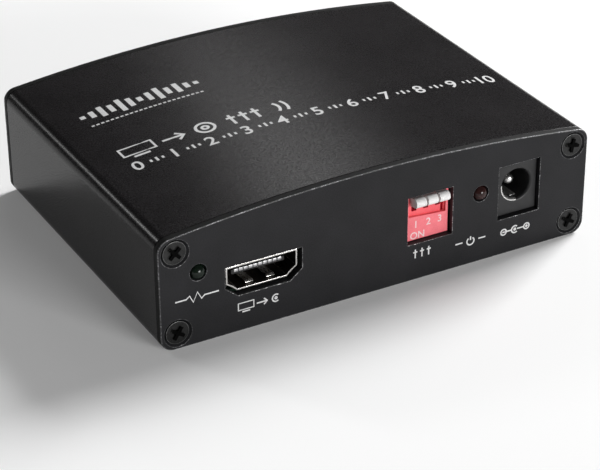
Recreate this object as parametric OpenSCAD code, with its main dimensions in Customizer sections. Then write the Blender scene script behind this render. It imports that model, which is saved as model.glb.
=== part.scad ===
// Small video and audio splitter box: an extruded case with an arched roof, two end
// plates and one circuit board that carries every socket.
// X runs across the case, Y from the front plate to the rear plate, Z up.
// The origin is on the floor under the middle of the case.

/* [Case] */
// Width of the case across its side faces
case_w = 92.4; // [90:0.2:110]
// Length of the extruded shell without the end plates
shell_len = 68.7; // [66:0.1:90]
// Height at which the arched roof would meet the side faces
side_h = 22.7; // [22:0.1:30]
// Rise of the arched roof from its sides to its middle
crown_h = 3.2; // [1.5:0.1:5]
// Radius of the four long outer edges
edge_r = 2.6; // [2.2:0.1:3.4]
// Wall thickness of the extrusion
wall_t = 1.5; // [1:0.1:1.9]
// Thickness of each end plate
plate_t = 1.5; // [1.2:0.1:2]

/* [Screws] */
// Distance of each screw from the side face
screw_side = 3.45; // [3.2:0.05:4]
// Height of the lower screws above the base
screw_low = 3.3; // [3.2:0.05:4]
// Distance of the upper screws below the roof
screw_drop = 3.3; // [3.2:0.05:4]
// Radius of the screw head
head_r = 2.7; // [2.4:0.05:2.9]
// Radius of the screw shank
shank_r = 1.45; // [1:0.05:1.5]
// Length of the shank behind the plate's outer face
screw_len = 9; // [7:0.5:14]

/* [Board] */
// Height of the board's underside above the base
board_z = 6.4; // [6.3:0.1:7]
// Thickness of the board
board_t = 1.6; // [1:0.1:1.6]

/* [Video sockets] */
// Place of the input socket across the front plate, as a share of the case's width
video_in_share = -0.2706; // [-0.28:0.0001:-0.24]
// Place of the output socket across the rear plate, as a share of the case's width
video_out_share = 0.29; // [0.25:0.0001:0.32]
// Width of the metal shell
video_w = 14.8; // [14.2:0.1:15.4]
// Height of the metal shell
video_h = 5.3; // [5:0.1:5.6]
// Width of the shell's floor between its slanted corners
video_floor_w = 10.4; // [9.6:0.1:11]
// Height of the shell's upright side
video_side_h = 3.5; // [3:0.1:3.8]
// Thickness of the shell's sheet
video_sheet_t = 0.35; // [0.25:0.05:0.4]
// Length of the shell
video_len = 11.2; // [9:0.1:13]

/* [Switch] */
// Place of the switch across the front plate, as a share of the case's width
dip_share = 0.1147; // [0.05:0.0001:0.13]
// Width of the switch body
dip_w = 9.3; // [9:0.1:10]
// Height of the switch body
dip_h = 9.8; // [9.6:0.1:11]
// Depth of the switch body
dip_depth = 6.8; // [6.2:0.1:8]
// Spacing of the keys
key_pitch = 2.6; // [2.54:0.01:2.7]
// Width of a key's nose
key_w = 2; // [1.6:0.05:2.2]
// Height of a key's nose
key_h = 1.9; // [1.6:0.05:2]
// Angle of a raised key, and of a lowered one below level
key_angle = 10; // [6:0.5:10]

/* [Lamps] */
// Place of the status lamp across the front plate, as a share of the case's width
status_share = -0.4145; // [-0.42:0.0001:-0.4]
// Place of the power lamp across the front plate, as a share of the case's width
power_lamp_share = 0.2365; // [0.22:0.0001:0.24]
// Height of the lamps above the board
lamp_z = 6.8; // [5:0.1:8]
// Radius of a lamp's dome
lamp_r = 1.5; // [1.2:0.05:1.6]

/* [Power socket] */
// Place of the power socket across the front plate, as a share of the case's width
power_share = 0.3312; // [0.325:0.0001:0.36]
// Width of the power socket
power_w = 9; // [8.6:0.1:9.6]
// Height of the power socket
power_h = 11; // [10:0.1:11.6]
// Depth of the power socket
power_depth = 13.6; // [12:0.1:15]
// Height of the plug hole above the board
power_hole_z = 6.05; // [5.6:0.05:6.5]
// Radius of the plug hole
power_hole_r = 3.2; // [3:0.05:3.4]
// Radius of the centre pin
power_pin_r = 1; // [0.8:0.05:1.25]

/* [Phono socket] */
// Place of the phono socket across the rear plate, as a share of the case's width
phono_share = -0.1234; // [-0.15:0.0001:-0.06]
// Height of the phono socket above the board
phono_z = 6.95; // [6.6:0.05:8]
// Outer radius of the barrel
phono_r = 4.15; // [4:0.05:4.3]
// Reach of the barrel in front of the plate
phono_reach = 4.6; // [4:0.1:9]
// Inner radius of the barrel's mouth
phono_mouth_r = 3.25; // [3:0.05:3.4]
// Radius of the hole for the plug's centre pin
phono_hole_r = 1.7; // [1.65:0.05:1.8]

/* [Headphone socket] */
// Place of the headphone socket across the rear plate, as a share of the case's width
jack_share = 0.0482; // [0.035:0.0001:0.08]
// Height of the headphone socket above the board
jack_z = 2.4; // [2.4:0.05:2.6]
// Radius of the plug bore
jack_bore_r = 1.8; // [1.75:0.05:1.85]
// Outer radius of the ring around the bore
jack_ring_r = 2.75; // [2.5:0.05:2.8]

/* [Optical socket] */
// Place of the optical socket across the rear plate, as a share of the case's width
optical_share = -0.3149; // [-0.33:0.0001:-0.29]
// Width of the optical socket
optical_w = 9.8; // [9.6:0.1:10.4]
// Height of the optical socket above the board
optical_h = 11.6; // [11.5:0.1:12.2]
// Width of the plug opening
optical_mouth_w = 6.5; // [6.2:0.1:6.7]
// Height of the plug opening
optical_mouth_h = 7.8; // [7.2:0.1:7.9]
// Depth of the optical socket
optical_depth = 14; // [13.6:0.1:16]

/* [Hidden] */

// Smoothness of round parts and of the very large roof arc
$fn = 48;
roof_facets = 720;
// Overrun of every cut past the face that it opens
cut = 1;

// Case shape
roof_r = (case_w * case_w / 4 + crown_h * crown_h) / (2 * crown_h);
roof_centre_z = side_h + crown_h - roof_r;
case_h = side_h + crown_h;
edge_x = case_w / 2 - edge_r;
edge_top_z = roof_centre_z + sqrt(pow(roof_r - edge_r, 2) - edge_x * edge_x);
front_y = -shell_len / 2 - plate_t;
rear_y = shell_len / 2 + plate_t;
function roof_z(x) = roof_centre_z + sqrt(roof_r * roof_r - x * x);

// Screws and the channels that hold them
screw_x = case_w / 2 - screw_side;
screw_high = roof_z(screw_x) - screw_drop;
screw_places = [
    [-screw_x, screw_low], [screw_x, screw_low], [-screw_x, screw_high], [screw_x, screw_high]
];
channel_r = 2.6;
thread_gap = 0.05;
head_gap = 0.1;
head_rim_t = 0.15;
head_sink = 0.05;
cross_span = 3;
cross_w = 0.7;
cross_depth = 1;

// Board, its rails and the slots for legs
board_top = board_z + board_t;
board_side_gap = 0.3;
board_end_gap = 0.6;
rail_gap = 0.1;
rail_t = 1;
rail_reach = 2.2;
leg_gap = 0.1;
leg_below = 0.8;
seat_gap = 0.2;

// Places of the sockets, switch and lamps across the case
video_in_x = video_in_share * case_w;
video_out_x = video_out_share * case_w;
dip_x = dip_share * case_w;
status_x = status_share * case_w;
power_lamp_x = power_lamp_share * case_w;
power_x = power_share * case_w;
phono_x = phono_share * case_w;
jack_x = jack_share * case_w;
optical_x = optical_share * case_w;

// Video socket
video_recess = 0.9;
video_rise = 2.8;
video_z = board_top + video_rise;
video_cut_gap = 0.55;
video_block_len = 3.6;
video_block_gap = 0.04;
tongue_w = 11;
tongue_t = 0.9;
tongue_rise = 0.45;
tongue_set = 1.6;
video_leg_w = 1.2;
video_leg_shares = [0.22, 0.8];
contact_pitch = 1;
contact_w = 0.36;
contact_t = 0.16;
contact_proud = 0.05;
contact_set = 0.8;
contact_gap = 0.02;
contact_upper_count = 10;
contact_lower_count = 9;
contact_tail_gap = 0.3;
contact_tail_step = 0.7;
contact_foot = 0.9;

// Switch
dip_recess = 1.2;
dip_cut_gap = 0.3;
dip_cut_gap_z = 0.15;
dip_sill = 4.8;
dip_cheek = 0.55;
dip_window_depth = 0.6;
key_reach = 1.2;
key_nose_len = 2.6;
key_blade_w = 0.9;
key_blade_h = 1.4;
key_hub_r = 0.95;
key_slot_gap = 0.12;
key_slot_lid = 0.4;
key_pivot_y = 5.2;
key_pivot_z = 7.75;
dip_pin_r = 0.4;
dip_pin_gap = 0.04;
dip_pin_seat = 0.01;
dip_pin_end = 0.3;
dip_leg_w = 0.5;
dip_leg_t = 0.25;
dip_leg_shares = [0.25, 0.8];

// Lamps
lamp_proud = 0.8;
lamp_len = 4.2;
lamp_rim_r = 1.9;
lamp_rim_t = 0.9;
lamp_hole_gap = 0.2;
lead_w = 0.5;
lead_pitch = 2.54;
lead_back = 2.2;

// Power socket
power_recess = 1;
power_cut_gap = 0.2;
power_hole_depth = 9.5;
power_pin_set = 2;
power_pin_gap = 0.03;
power_lug_w = 2.4;
power_lug_t = 0.4;
power_lip_t = 0.2;
power_lip_len = 2.8;
power_lip_flare = 0.35;
power_lip_gap = 0.05;
power_lip_middle = 137;
power_lip_sweep = 100;
power_leaf_w = 1.6;
power_side_leg_share = 0.62;

// Phono socket
phono_flange_r = 4.5;
phono_flange_reach = 1.4;
phono_groove_w = 0.3;
phono_groove_r = 3.95;
phono_bevel = 0.3;
phono_hole_gap = 0.25;
phono_block_w = 10;
phono_block_depth = 9;
phono_block_h = 11.9;
phono_tail = 3;
phono_tail_gap = 0.05;
phono_insulator_set = 1.2;
phono_guide_len = 2.4;
phono_cavity_r = 2.35;
phono_contact_t = 0.25;
phono_contact_gap = 0.1;
phono_grip_r = 1.5;
phono_grip_len = 1;
phono_grip_flare = 0.8;
phono_contact_slit = 0.5;
phono_leg_w = 2;
phono_leg_t = 0.4;

// Headphone socket
jack_body_w = 6.8;
jack_body_h = 5;
jack_body_depth = 12;
jack_proud = 0.3;
jack_hole_gap = 0.15;
jack_bevel = 0.25;
jack_end_wall = 0.8;
jack_leg_t = 0.3;
jack_leg_w = 1;
jack_leg_h = 2.6;
jack_leg_shares = [0.2, 0.5, 0.8];

// Optical socket
optical_recess = 0.5;
optical_cut_gap = 0.15;
optical_skirt = 1.5;
optical_mouth_floor = 2.4;
optical_chamfer = 0.9;
optical_cavity_depth = 10;
optical_wall = 1;
optical_notch_w = 0.6;
optical_notch_h = 1.3;
optical_notch_depth = 1.6;
shutter_axis_y = 1.8;
shutter_axis_drop = 1;
shutter_hub_r = 0.85;
shutter_side_gap = 0.12;
shutter_face_y = 2.6;
shutter_t = 0.7;
shutter_foot_gap = 0.2;
shutter_pin_r = 0.35;
shutter_pin_gap = 0.04;
shutter_pocket_h = 0.75;
shutter_lintel = 0.7;
shutter_pin_over = 1.5;
spring_r = 0.62;
spring_wire_r = 0.12;
spring_turns = 3;
spring_pitch = 0.28;
spring_room = 0.12;
spring_rings = 14;
spring_sides = 8;
emitter_w = 7;
emitter_h = 9.4;
emitter_t = 2.4;
emitter_gap = 0.1;
emitter_lens_r = 1.2;
emitter_leg_w = 0.5;
emitter_leg_t = 0.25;
emitter_leg_pitch = 2.54;
optical_mouth_top = optical_mouth_floor + optical_mouth_h;
optical_mid_z = optical_mouth_floor + optical_mouth_h / 2;
shutter_axis_z = optical_mouth_top - shutter_axis_drop;
spring_pocket_r = spring_r + spring_wire_r + spring_room;
spring_len = spring_turns * spring_pitch + 2 * spring_wire_r;
spring_x = optical_mouth_w / 2 + spring_room;

// Chips and small parts on the board, placed by shares of the case's width and length
chip_w = 14;
chip_t = 1.4;
chip_lift = 0.1;
chip_shares = [-0.022, -0.015];
chip_lead_count = 20;
chip_lead_pitch = 0.6;
chip_lead_w = 0.26;
chip_lead_t = 0.15;
chip_lead_reach = 1;
sink_w = 15;
sink_h = 6;
sink_base_t = 1.4;
sink_fins = 6;
sink_fin_t = 1;
sound_chip = [6, 10, 1.5];
sound_shares = [-0.26, 0.087];
sound_lead_count = 8;
memory_chip_size = [5, 4, 1.5];
memory_shares = [0.173, 0.131];
memory_lead_count = 4;
wide_lead_pitch = 1.1;
wide_lead_w = 0.4;
crystal_size = [11, 4.6, 3.4];
crystal_shares = [-0.032, -0.218];
can_r = 3.15;
can_h = 5.4;
can_base_t = 0.8;
can_bevel = 0.4;
can_shares = [[0.216, -0.189], [0.417, -0.146], [-0.411, 0.233]];
coil_w = 7;
coil_h = 4.2;
coil_core_r = 2.6;
coil_shares = [0.325, -0.058];
coil_flange_t = 1;
regulator_size = [6.5, 3.5, 1.6];
regulator_shares = [0.39, 0.116];
regulator_tab_w = 3;
regulator_lead_w = 0.7;
regulator_lead_pitch = 2.3;
regulator_lead_reach = 1.6;
resistor_size = [1.6, 0.8, 0.5];
resistor_step = [3.2, 2.2];
resistor_grid = [4, 3];
resistor_shares = [[-0.235, -0.204], [-0.022, 0.175], [0.1245, -0.029]];

case_black = "#1d1d1f";
socket_black = "#161617";
switch_red = "#e5606a";
key_white = "#f1efee";
bright_metal = "#c9cbce";
gold_metal = "#c9a24a";
board_green = "#1f4d36";
part_black = "#232325";

// Turns a part that is drawn along Z so that it runs along Y
module into_y() {
    rotate([-90, 0, 0]) children();
}

// Extrudes a drawing of the XZ plane from one Y to another
module along_y(y_from, y_to) {
    translate([0, y_to, 0]) rotate([90, 0, 0]) linear_extrude(y_to - y_from) children();
}

// A block given by its low and high corners
module block(low, high) {
    translate(low) cube(high - low);
}

// Local frames on the two end plates: Y = 0 on the outer face and +Y into the case
module at_front(x, z) {
    translate([x, front_y, z]) children();
}

module at_rear(x, z) {
    translate([x, rear_y, z]) rotate([0, 0, 180]) children();
}

// Places on the top of the board, counted from the case's middle
module on_board(shares) {
    translate([shares[0] * case_w, shares[1] * shell_len, board_top]) children();
}

module case_outline(inset = 0) {
    half = case_w / 2 - inset;
    corner = edge_r - inset;
    tangent_x = edge_x + corner * edge_x / (roof_r - edge_r);
    intersection() {
        translate([0, roof_centre_z]) circle(r = roof_r - inset, $fn = roof_facets);
        translate([-tangent_x, edge_r]) square([2 * tangent_x, case_h]);
    }
    translate([-half, edge_r]) square([2 * half, edge_top_z - edge_r]);
    translate([-edge_x, inset]) square([2 * edge_x, case_h / 2]);
    for (side = [-1, 1], z = [edge_r, edge_top_z])
        translate([side * edge_x, z]) circle(r = corner);
}

module board_rails() {
    inner_x = case_w / 2 - wall_t;
    for (side = [-1, 1], z = [board_z - rail_gap - rail_t, board_top + rail_gap])
        translate([side * (inner_x - rail_reach / 2 + wall_t / 4), z + rail_t / 2])
            square([rail_reach + wall_t / 2, rail_t], center = true);
}

module shell() {
    color(case_black)
    along_y(-shell_len / 2, shell_len / 2)
    difference() {
        union() {
            difference() {
                case_outline();
                case_outline(wall_t);
            }
            intersection() {
                case_outline(wall_t / 2);
                union() {
                    for (place = screw_places) translate(place) circle(r = channel_r);
                    board_rails();
                }
            }
        }
        for (place = screw_places) translate(place) circle(r = shank_r + thread_gap);
    }
}

// Countersunk hole, cut from an end plate's outer face inwards
module screw_seat() {
    seat_r = head_r + head_gap;
    neck_r = shank_r + head_gap;
    translate([0, -cut, 0]) into_y() cylinder(h = cut + head_sink + head_rim_t, r = seat_r);
    translate([0, head_sink + head_rim_t, 0]) into_y()
        cylinder(h = head_r - shank_r, r1 = seat_r, r2 = neck_r);
}

module plate_blank() {
    difference() {
        case_outline();
        for (place = screw_places) translate(place) circle(r = shank_r + head_gap);
    }
}

module front_plate() {
    color(case_black)
    difference() {
        along_y(front_y, front_y + plate_t)
        difference() {
            plate_blank();
            translate([video_in_x, video_z]) polygon(video_outline(video_cut_gap));
            translate([dip_x, board_top + dip_h / 2])
                square([dip_w + 2 * dip_cut_gap, dip_h + 2 * dip_cut_gap_z], center = true);
            translate([power_x, board_top + power_h / 2])
                square([power_w, power_h] + 2 * [power_cut_gap, power_cut_gap], center = true);
            for (x = [status_x, power_lamp_x])
                translate([x, board_top + lamp_z]) circle(r = lamp_r + lamp_hole_gap);
        }
        for (place = screw_places) at_front(place[0], place[1]) screw_seat();
    }
}

module rear_plate() {
    face_h = optical_h - optical_skirt;
    color(case_black)
    difference() {
        along_y(rear_y - plate_t, rear_y)
        difference() {
            plate_blank();
            translate([video_out_x, video_z]) polygon(video_outline(video_cut_gap));
            translate([jack_x, board_top + jack_z]) circle(r = jack_ring_r + jack_hole_gap);
            translate([phono_x, board_top + phono_z]) circle(r = phono_flange_r + phono_hole_gap);
            translate([optical_x, board_top + optical_skirt + face_h / 2])
                square([optical_w, face_h] + 2 * [optical_cut_gap, optical_cut_gap], center = true);
        }
        for (place = screw_places) at_rear(place[0], place[1]) screw_seat();
    }
}

module screw() {
    cone_h = head_r - shank_r;
    translate([0, head_sink, 0])
    difference() {
        union() {
            into_y() cylinder(h = head_rim_t, r = head_r);
            translate([0, head_rim_t, 0]) into_y() cylinder(h = cone_h, r1 = head_r, r2 = shank_r);
            into_y() cylinder(h = screw_len, r = shank_r);
        }
        for (turn = [0, 90])
            rotate([0, turn, 0])
                block([-cross_span / 2, -cut, -cross_w / 2], [cross_span / 2, cross_depth, cross_w / 2]);
    }
}

module front_screws() {
    color(part_black) for (place = screw_places) at_front(place[0], place[1]) screw();
}

module rear_screws() {
    color(part_black) for (place = screw_places) at_rear(place[0], place[1]) screw();
}

module main_board() {
    half_x = case_w / 2 - wall_t - board_side_gap;
    half_y = shell_len / 2 - board_end_gap;
    color(board_green)
    difference() {
        block([-half_x, -half_y, board_z], [half_x, half_y, board_top]);
        video_legs(leg_gap);
        dip_leg_blocks(leg_gap);
        lamp_lead_drops(leg_gap);
        power_leg_blocks(leg_gap);
        phono_leg_blocks(leg_gap);
        jack_leg_blocks(leg_gap);
        optical_leg_blocks(leg_gap);
    }
}

// Outline of a video socket's shell, grown or shrunk square to each edge
function video_outline(grow) =
    let (
        half = video_w / 2,
        floor_half = video_floor_w / 2,
        top = video_h / 2,
        knee_z = top - video_side_h,
        run = half - floor_half,
        drop = video_h - video_side_h,
        slant = norm([run, drop]),
        nx = drop / slant,
        nz = -run / slant,
        outer_knee_z = knee_z + grow * (1 - nx) / nz,
        outer_floor_x = half + (grow - nz * (-top - grow - knee_z)) / nx
    )
    [
        [-half - grow, top + grow], [half + grow, top + grow], [half + grow, outer_knee_z],
        [outer_floor_x, -top - grow], [-outer_floor_x, -top - grow], [-half - grow, outer_knee_z]
    ];

module at_video(socket) {
    if (socket == "in") at_front(video_in_x, video_z) children();
    if (socket == "out") at_rear(video_out_x, video_z) children();
}

module video_leg_blocks(grow) {
    foot_z = board_z - leg_below - video_z;
    for (side = [-1, 1], share = video_leg_shares)
        translate([side * (video_w - video_sheet_t) / 2, video_recess + video_len * share, foot_z / 2])
            cube([video_sheet_t, video_leg_w, -foot_z] + 2 * [grow, grow, 0], center = true);
}

module video_legs(grow) {
    for (socket = ["in", "out"]) at_video(socket) video_leg_blocks(grow);
}

module video_shell(socket) {
    color(bright_metal)
    at_video(socket) {
        along_y(video_recess, video_recess + video_len)
        difference() {
            polygon(video_outline(0));
            polygon(video_outline(-video_sheet_t));
        }
        video_leg_blocks(0);
    }
}

// One row of contacts: on the tongue, through the block behind it and down to the board
module contact_row(count, face_z, out_z, tail_y, grow) {
    front = video_recess + tongue_set + contact_set;
    back = video_recess + video_len;
    board = board_top - video_z;
    for (i = [0 : count - 1]) {
        x = (i - (count - 1) / 2) * contact_pitch;
        low_z = min(face_z, out_z);
        high_z = max(face_z, out_z);
        block([x - contact_w / 2 - grow, front - grow, low_z - grow],
            [x + contact_w / 2 + grow, back + tail_y + contact_t, high_z + grow]);
        block([x - contact_w / 2, back + tail_y, board],
            [x + contact_w / 2, back + tail_y + contact_t, high_z]);
        block([x - contact_w / 2, back + tail_y, board],
            [x + contact_w / 2, back + tail_y + contact_foot, board + contact_t]);
    }
}

module contact_rows(grow) {
    top_z = tongue_rise + tongue_t / 2;
    low_z = tongue_rise - tongue_t / 2;
    far_tail = contact_tail_gap + contact_foot + contact_tail_step;
    contact_row(contact_upper_count, top_z + contact_proud, top_z + contact_proud - contact_t,
        far_tail, grow);
    contact_row(contact_lower_count, low_z - contact_proud, low_z - contact_proud + contact_t,
        contact_tail_gap, grow);
}

module video_tongue(socket) {
    back = video_recess + video_len;
    color(part_black)
    at_video(socket)
    difference() {
        union() {
            along_y(back - video_block_len, back)
                polygon(video_outline(-video_sheet_t - video_block_gap));
            block([-tongue_w / 2, video_recess + tongue_set, tongue_rise - tongue_t / 2],
                [tongue_w / 2, back, tongue_rise + tongue_t / 2]);
        }
        contact_rows(contact_gap);
    }
}

module video_contacts(socket) {
    color(gold_metal) at_video(socket) contact_rows(0);
}

module at_dip() {
    at_front(dip_x, board_top) children();
}

module dip_leg_blocks(grow) {
    at_dip()
    for (i = [-1, 0, 1], share = dip_leg_shares)
        translate([i * key_pitch, dip_recess + dip_depth * share, -(board_t + leg_below) / 2])
            cube([dip_leg_w, dip_leg_t, board_t + leg_below] + 2 * [grow, grow, 0], center = true);
}

module dip_legs() {
    color(bright_metal) dip_leg_blocks(0);
}

module dip_body() {
    back = dip_recess + dip_depth;
    floor_y = dip_recess + dip_window_depth;
    window_x = dip_w / 2 - dip_cheek;
    slot_x = key_blade_w / 2 + key_slot_gap;
    slot_back = key_pivot_y + key_hub_r + key_slot_gap;
    color(switch_red)
    at_dip()
    difference() {
        block([-dip_w / 2, dip_recess, 0], [dip_w / 2, back, dip_h]);
        block([-window_x, dip_recess - cut, dip_sill], [window_x, floor_y, dip_h + cut]);
        for (i = [-1, 0, 1])
            translate([i * key_pitch, 0, 0])
                block([-slot_x, dip_recess, dip_sill], [slot_x, slot_back, dip_h - key_slot_lid]);
        translate([0, key_pivot_y, key_pivot_z]) rotate([0, 90, 0])
            cylinder(h = dip_w + cut, r = dip_pin_r + dip_pin_seat, center = true);
    }
}

module dip_pivot_pin() {
    color(bright_metal)
    at_dip()
    translate([0, key_pivot_y, key_pivot_z]) rotate([0, 90, 0])
        cylinder(h = dip_w - 2 * dip_pin_end, r = dip_pin_r, center = true);
}

// A key drawn level, with its pivot at the origin and its nose towards -Y, then raised
module dip_key(i) {
    nose_front = -key_pivot_y - key_reach;
    nose_back = nose_front + key_nose_len;
    color(key_white)
    at_dip()
    translate([i * key_pitch, key_pivot_y, key_pivot_z])
    rotate([-key_angle, 0, 0])
    difference() {
        union() {
            block([-key_w / 2, nose_front + key_h / 2, -key_h / 2], [key_w / 2, nose_back, key_h / 2]);
            translate([0, nose_front + key_h / 2, 0]) rotate([0, 90, 0])
                cylinder(h = key_w, r = key_h / 2, center = true);
            block([-key_blade_w / 2, nose_back - key_h / 2, -key_blade_h / 2],
                [key_blade_w / 2, 0, key_blade_h / 2]);
            rotate([0, 90, 0]) cylinder(h = key_blade_w, r = key_hub_r, center = true);
        }
        rotate([0, 90, 0]) cylinder(h = key_w + cut, r = dip_pin_r + dip_pin_gap, center = true);
    }
}

module at_lamps() {
    for (x = [status_x, power_lamp_x]) at_front(x, board_top + lamp_z) children();
}

module lamp() {
    centre_y = lamp_r - lamp_proud;
    translate([0, centre_y, 0]) sphere(r = lamp_r);
    translate([0, centre_y, 0]) into_y() cylinder(h = lamp_len, r = lamp_r);
    translate([0, centre_y + lamp_len, 0]) into_y() cylinder(h = lamp_rim_t, r = lamp_rim_r);
}

module lamp_lead_drops(grow) {
    lead_y = lamp_r - lamp_proud + lamp_len + lamp_rim_t + lead_back;
    at_lamps()
    for (side = [-1, 1])
        translate([side * lead_pitch / 2, 0, 0])
            block([-lead_w / 2 - grow, lead_y - lead_w - grow, -lamp_z - board_t - leg_below],
                [lead_w / 2 + grow, lead_y + grow, lead_w / 2]);
}

module lamp_leads() {
    back = lamp_r - lamp_proud + lamp_len + lamp_rim_t;
    color(bright_metal) {
        lamp_lead_drops(0);
        at_lamps()
        for (side = [-1, 1])
            block([side * lead_pitch / 2 - lead_w / 2, back, -lead_w / 2],
                [side * lead_pitch / 2 + lead_w / 2, back + lead_back, lead_w / 2]);
    }
}

module status_lamp() {
    color("#1f5a2c") at_front(status_x, board_top + lamp_z) lamp();
}

module power_lamp() {
    color("#6a2420") at_front(power_lamp_x, board_top + lamp_z) lamp();
}

module at_power() {
    at_front(power_x, board_top) children();
}

module power_leg_blocks(grow) {
    back = power_recess + power_depth;
    leaf_y = power_recess + power_depth * power_side_leg_share;
    at_power() {
        block([-power_lug_w / 2 - grow, back - grow, -board_t - leg_below],
            [power_lug_w / 2 + grow, back + power_lug_t + grow, power_hole_z]);
        block([-power_leaf_w / 2 - grow, leaf_y - power_lug_t / 2 - grow, -board_t - leg_below],
            [power_leaf_w / 2 + grow, leaf_y + power_lug_t / 2 + grow,
                power_hole_z - power_hole_r + power_leaf_w / 4]);
    }
}

module power_jack_body() {
    color(socket_black)
    difference() {
        at_power()
        difference() {
            block([-power_w / 2, power_recess, 0], [power_w / 2, power_recess + power_depth, power_h]);
            translate([0, power_recess, power_hole_z]) {
                translate([0, -cut, 0]) into_y() cylinder(h = cut + power_hole_depth, r = power_hole_r);
                into_y()
                    cylinder(h = power_lip_flare, r1 = power_hole_r + power_lip_flare, r2 = power_hole_r);
                into_y() cylinder(h = power_depth + cut, r = power_pin_r + power_pin_gap);
            }
        }
        power_leg_blocks(power_pin_gap);
    }
}

module power_jack_pin() {
    back = power_recess + power_depth;
    tip = power_recess + power_pin_set;
    color(bright_metal)
    at_power() {
        translate([0, tip + power_pin_r, power_hole_z]) {
            sphere(r = power_pin_r);
            into_y() cylinder(h = back - tip - power_pin_r + power_lug_t, r = power_pin_r);
        }
        block([-power_lug_w / 2, back, -board_t - leg_below],
            [power_lug_w / 2, back + power_lug_t, power_hole_z + power_lug_w / 2]);
    }
}

module power_jack_spring() {
    outer = power_hole_r - power_lip_gap;
    inner = outer - power_lip_t;
    leaf_y = power_recess + power_depth * power_side_leg_share;
    color(bright_metal)
    at_power() {
        translate([0, power_recess + power_lip_gap, power_hole_z]) into_y()
            rotate(power_lip_middle - power_lip_sweep / 2)
            rotate_extrude(angle = power_lip_sweep)
                polygon([
                    [inner + power_lip_flare, 0], [outer + power_lip_flare, 0],
                    [outer, power_lip_flare], [outer, power_lip_len],
                    [inner, power_lip_len], [inner, power_lip_flare]
                ]);
        block([-power_leaf_w / 2, power_recess + power_lip_len / 2, power_hole_z - outer + power_lip_t / 2],
            [power_leaf_w / 2, leaf_y + power_lug_t / 2, power_hole_z - inner + power_lip_t / 2]);
        block([-power_leaf_w / 2, leaf_y - power_lug_t / 2, -board_t - leg_below],
            [power_leaf_w / 2, leaf_y + power_lug_t / 2, power_hole_z - outer + power_lip_t]);
    }
}

module at_phono() {
    at_rear(phono_x, board_top) children();
}

module phono_leg_blocks(grow) {
    front = plate_t + seat_gap + phono_leg_t;
    back = plate_t + seat_gap + phono_block_depth;
    at_phono() {
        block([-phono_leg_w / 2 - grow, front - grow, -board_t - leg_below],
            [phono_leg_w / 2 + grow, front + phono_leg_t + grow, phono_z - phono_mouth_r - grow]);
        block([-phono_leg_w / 2 - grow, back - grow, -board_t - leg_below],
            [phono_leg_w / 2 + grow, back + phono_leg_t + grow, phono_z]);
    }
}

module phono_block() {
    front = plate_t + seat_gap;
    color(part_black)
    difference() {
        at_phono()
        difference() {
            block([-phono_block_w / 2, front, 0],
                [phono_block_w / 2, front + phono_block_depth, phono_block_h]);
            translate([0, front - cut, phono_z]) into_y()
                cylinder(h = cut + phono_tail, r = phono_r + phono_tail_gap);
            translate([0, front, phono_z]) into_y()
                cylinder(h = phono_block_depth + cut, r = phono_cavity_r + phono_tail_gap);
        }
        phono_leg_blocks(phono_tail_gap);
    }
}

module phono_barrel() {
    tail_y = plate_t + seat_gap + phono_tail - phono_tail_gap;
    color(bright_metal) {
        at_phono()
        translate([0, 0, phono_z]) into_y()
        rotate_extrude()
            polygon([
                [phono_mouth_r + phono_bevel, -phono_reach], [phono_r - phono_bevel, -phono_reach],
                [phono_r, -phono_reach + phono_bevel],
                [phono_r, -phono_flange_reach - phono_groove_w],
                [phono_groove_r, -phono_flange_reach - phono_groove_w],
                [phono_groove_r, -phono_flange_reach], [phono_flange_r, -phono_flange_reach],
                [phono_flange_r, plate_t], [phono_r, plate_t], [phono_r, tail_y],
                [phono_mouth_r, tail_y], [phono_mouth_r, -phono_reach + phono_bevel]
            ]);
        front_phono_leg();
    }
}

module front_phono_leg() {
    front = plate_t + seat_gap + phono_leg_t;
    at_phono()
    block([-phono_leg_w / 2, front, -board_t - leg_below],
        [phono_leg_w / 2, front + phono_leg_t, phono_z - (phono_r + phono_mouth_r) / 2]);
}

module phono_insulator() {
    guide_y = -phono_reach + phono_insulator_set;
    back = plate_t + seat_gap + phono_tail - phono_tail_gap;
    color(socket_black)
    at_phono()
    translate([0, 0, phono_z])
    difference() {
        translate([0, guide_y, 0]) into_y() cylinder(h = back - guide_y, r = phono_mouth_r - phono_tail_gap);
        translate([0, guide_y - cut, 0]) into_y() cylinder(h = back - guide_y + 2 * cut, r = phono_hole_r);
        translate([0, guide_y + phono_guide_len, 0]) into_y()
            cylinder(h = back - guide_y, r = phono_cavity_r);
    }
}

module phono_contact() {
    start = -phono_reach + phono_insulator_set + phono_guide_len + phono_contact_gap;
    back = plate_t + seat_gap + phono_block_depth;
    outer = phono_cavity_r - phono_contact_gap;
    grip_end = start + phono_grip_len;
    color(gold_metal)
    at_phono() {
        translate([0, 0, phono_z])
        difference() {
            into_y()
            rotate_extrude()
                polygon([
                    [phono_grip_r, start], [phono_grip_r + phono_contact_t, start],
                    [phono_grip_r + phono_contact_t, grip_end], [outer, grip_end + phono_grip_flare],
                    [outer, back + phono_leg_t], [0, back + phono_leg_t], [0, back],
                    [outer - phono_contact_t, back], [outer - phono_contact_t, grip_end + phono_grip_flare],
                    [phono_grip_r, grip_end]
                ]);
            for (turn = [0, 90])
                rotate([0, turn, 0])
                    block([-phono_mouth_r, start - cut, -phono_contact_slit / 2],
                        [phono_mouth_r, plate_t + phono_tail, phono_contact_slit / 2]);
        }
        block([-phono_leg_w / 2, back, -board_t - leg_below], [phono_leg_w / 2, back + phono_leg_t, phono_z]);
    }
}

module at_jack() {
    at_rear(jack_x, board_top) children();
}

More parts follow.
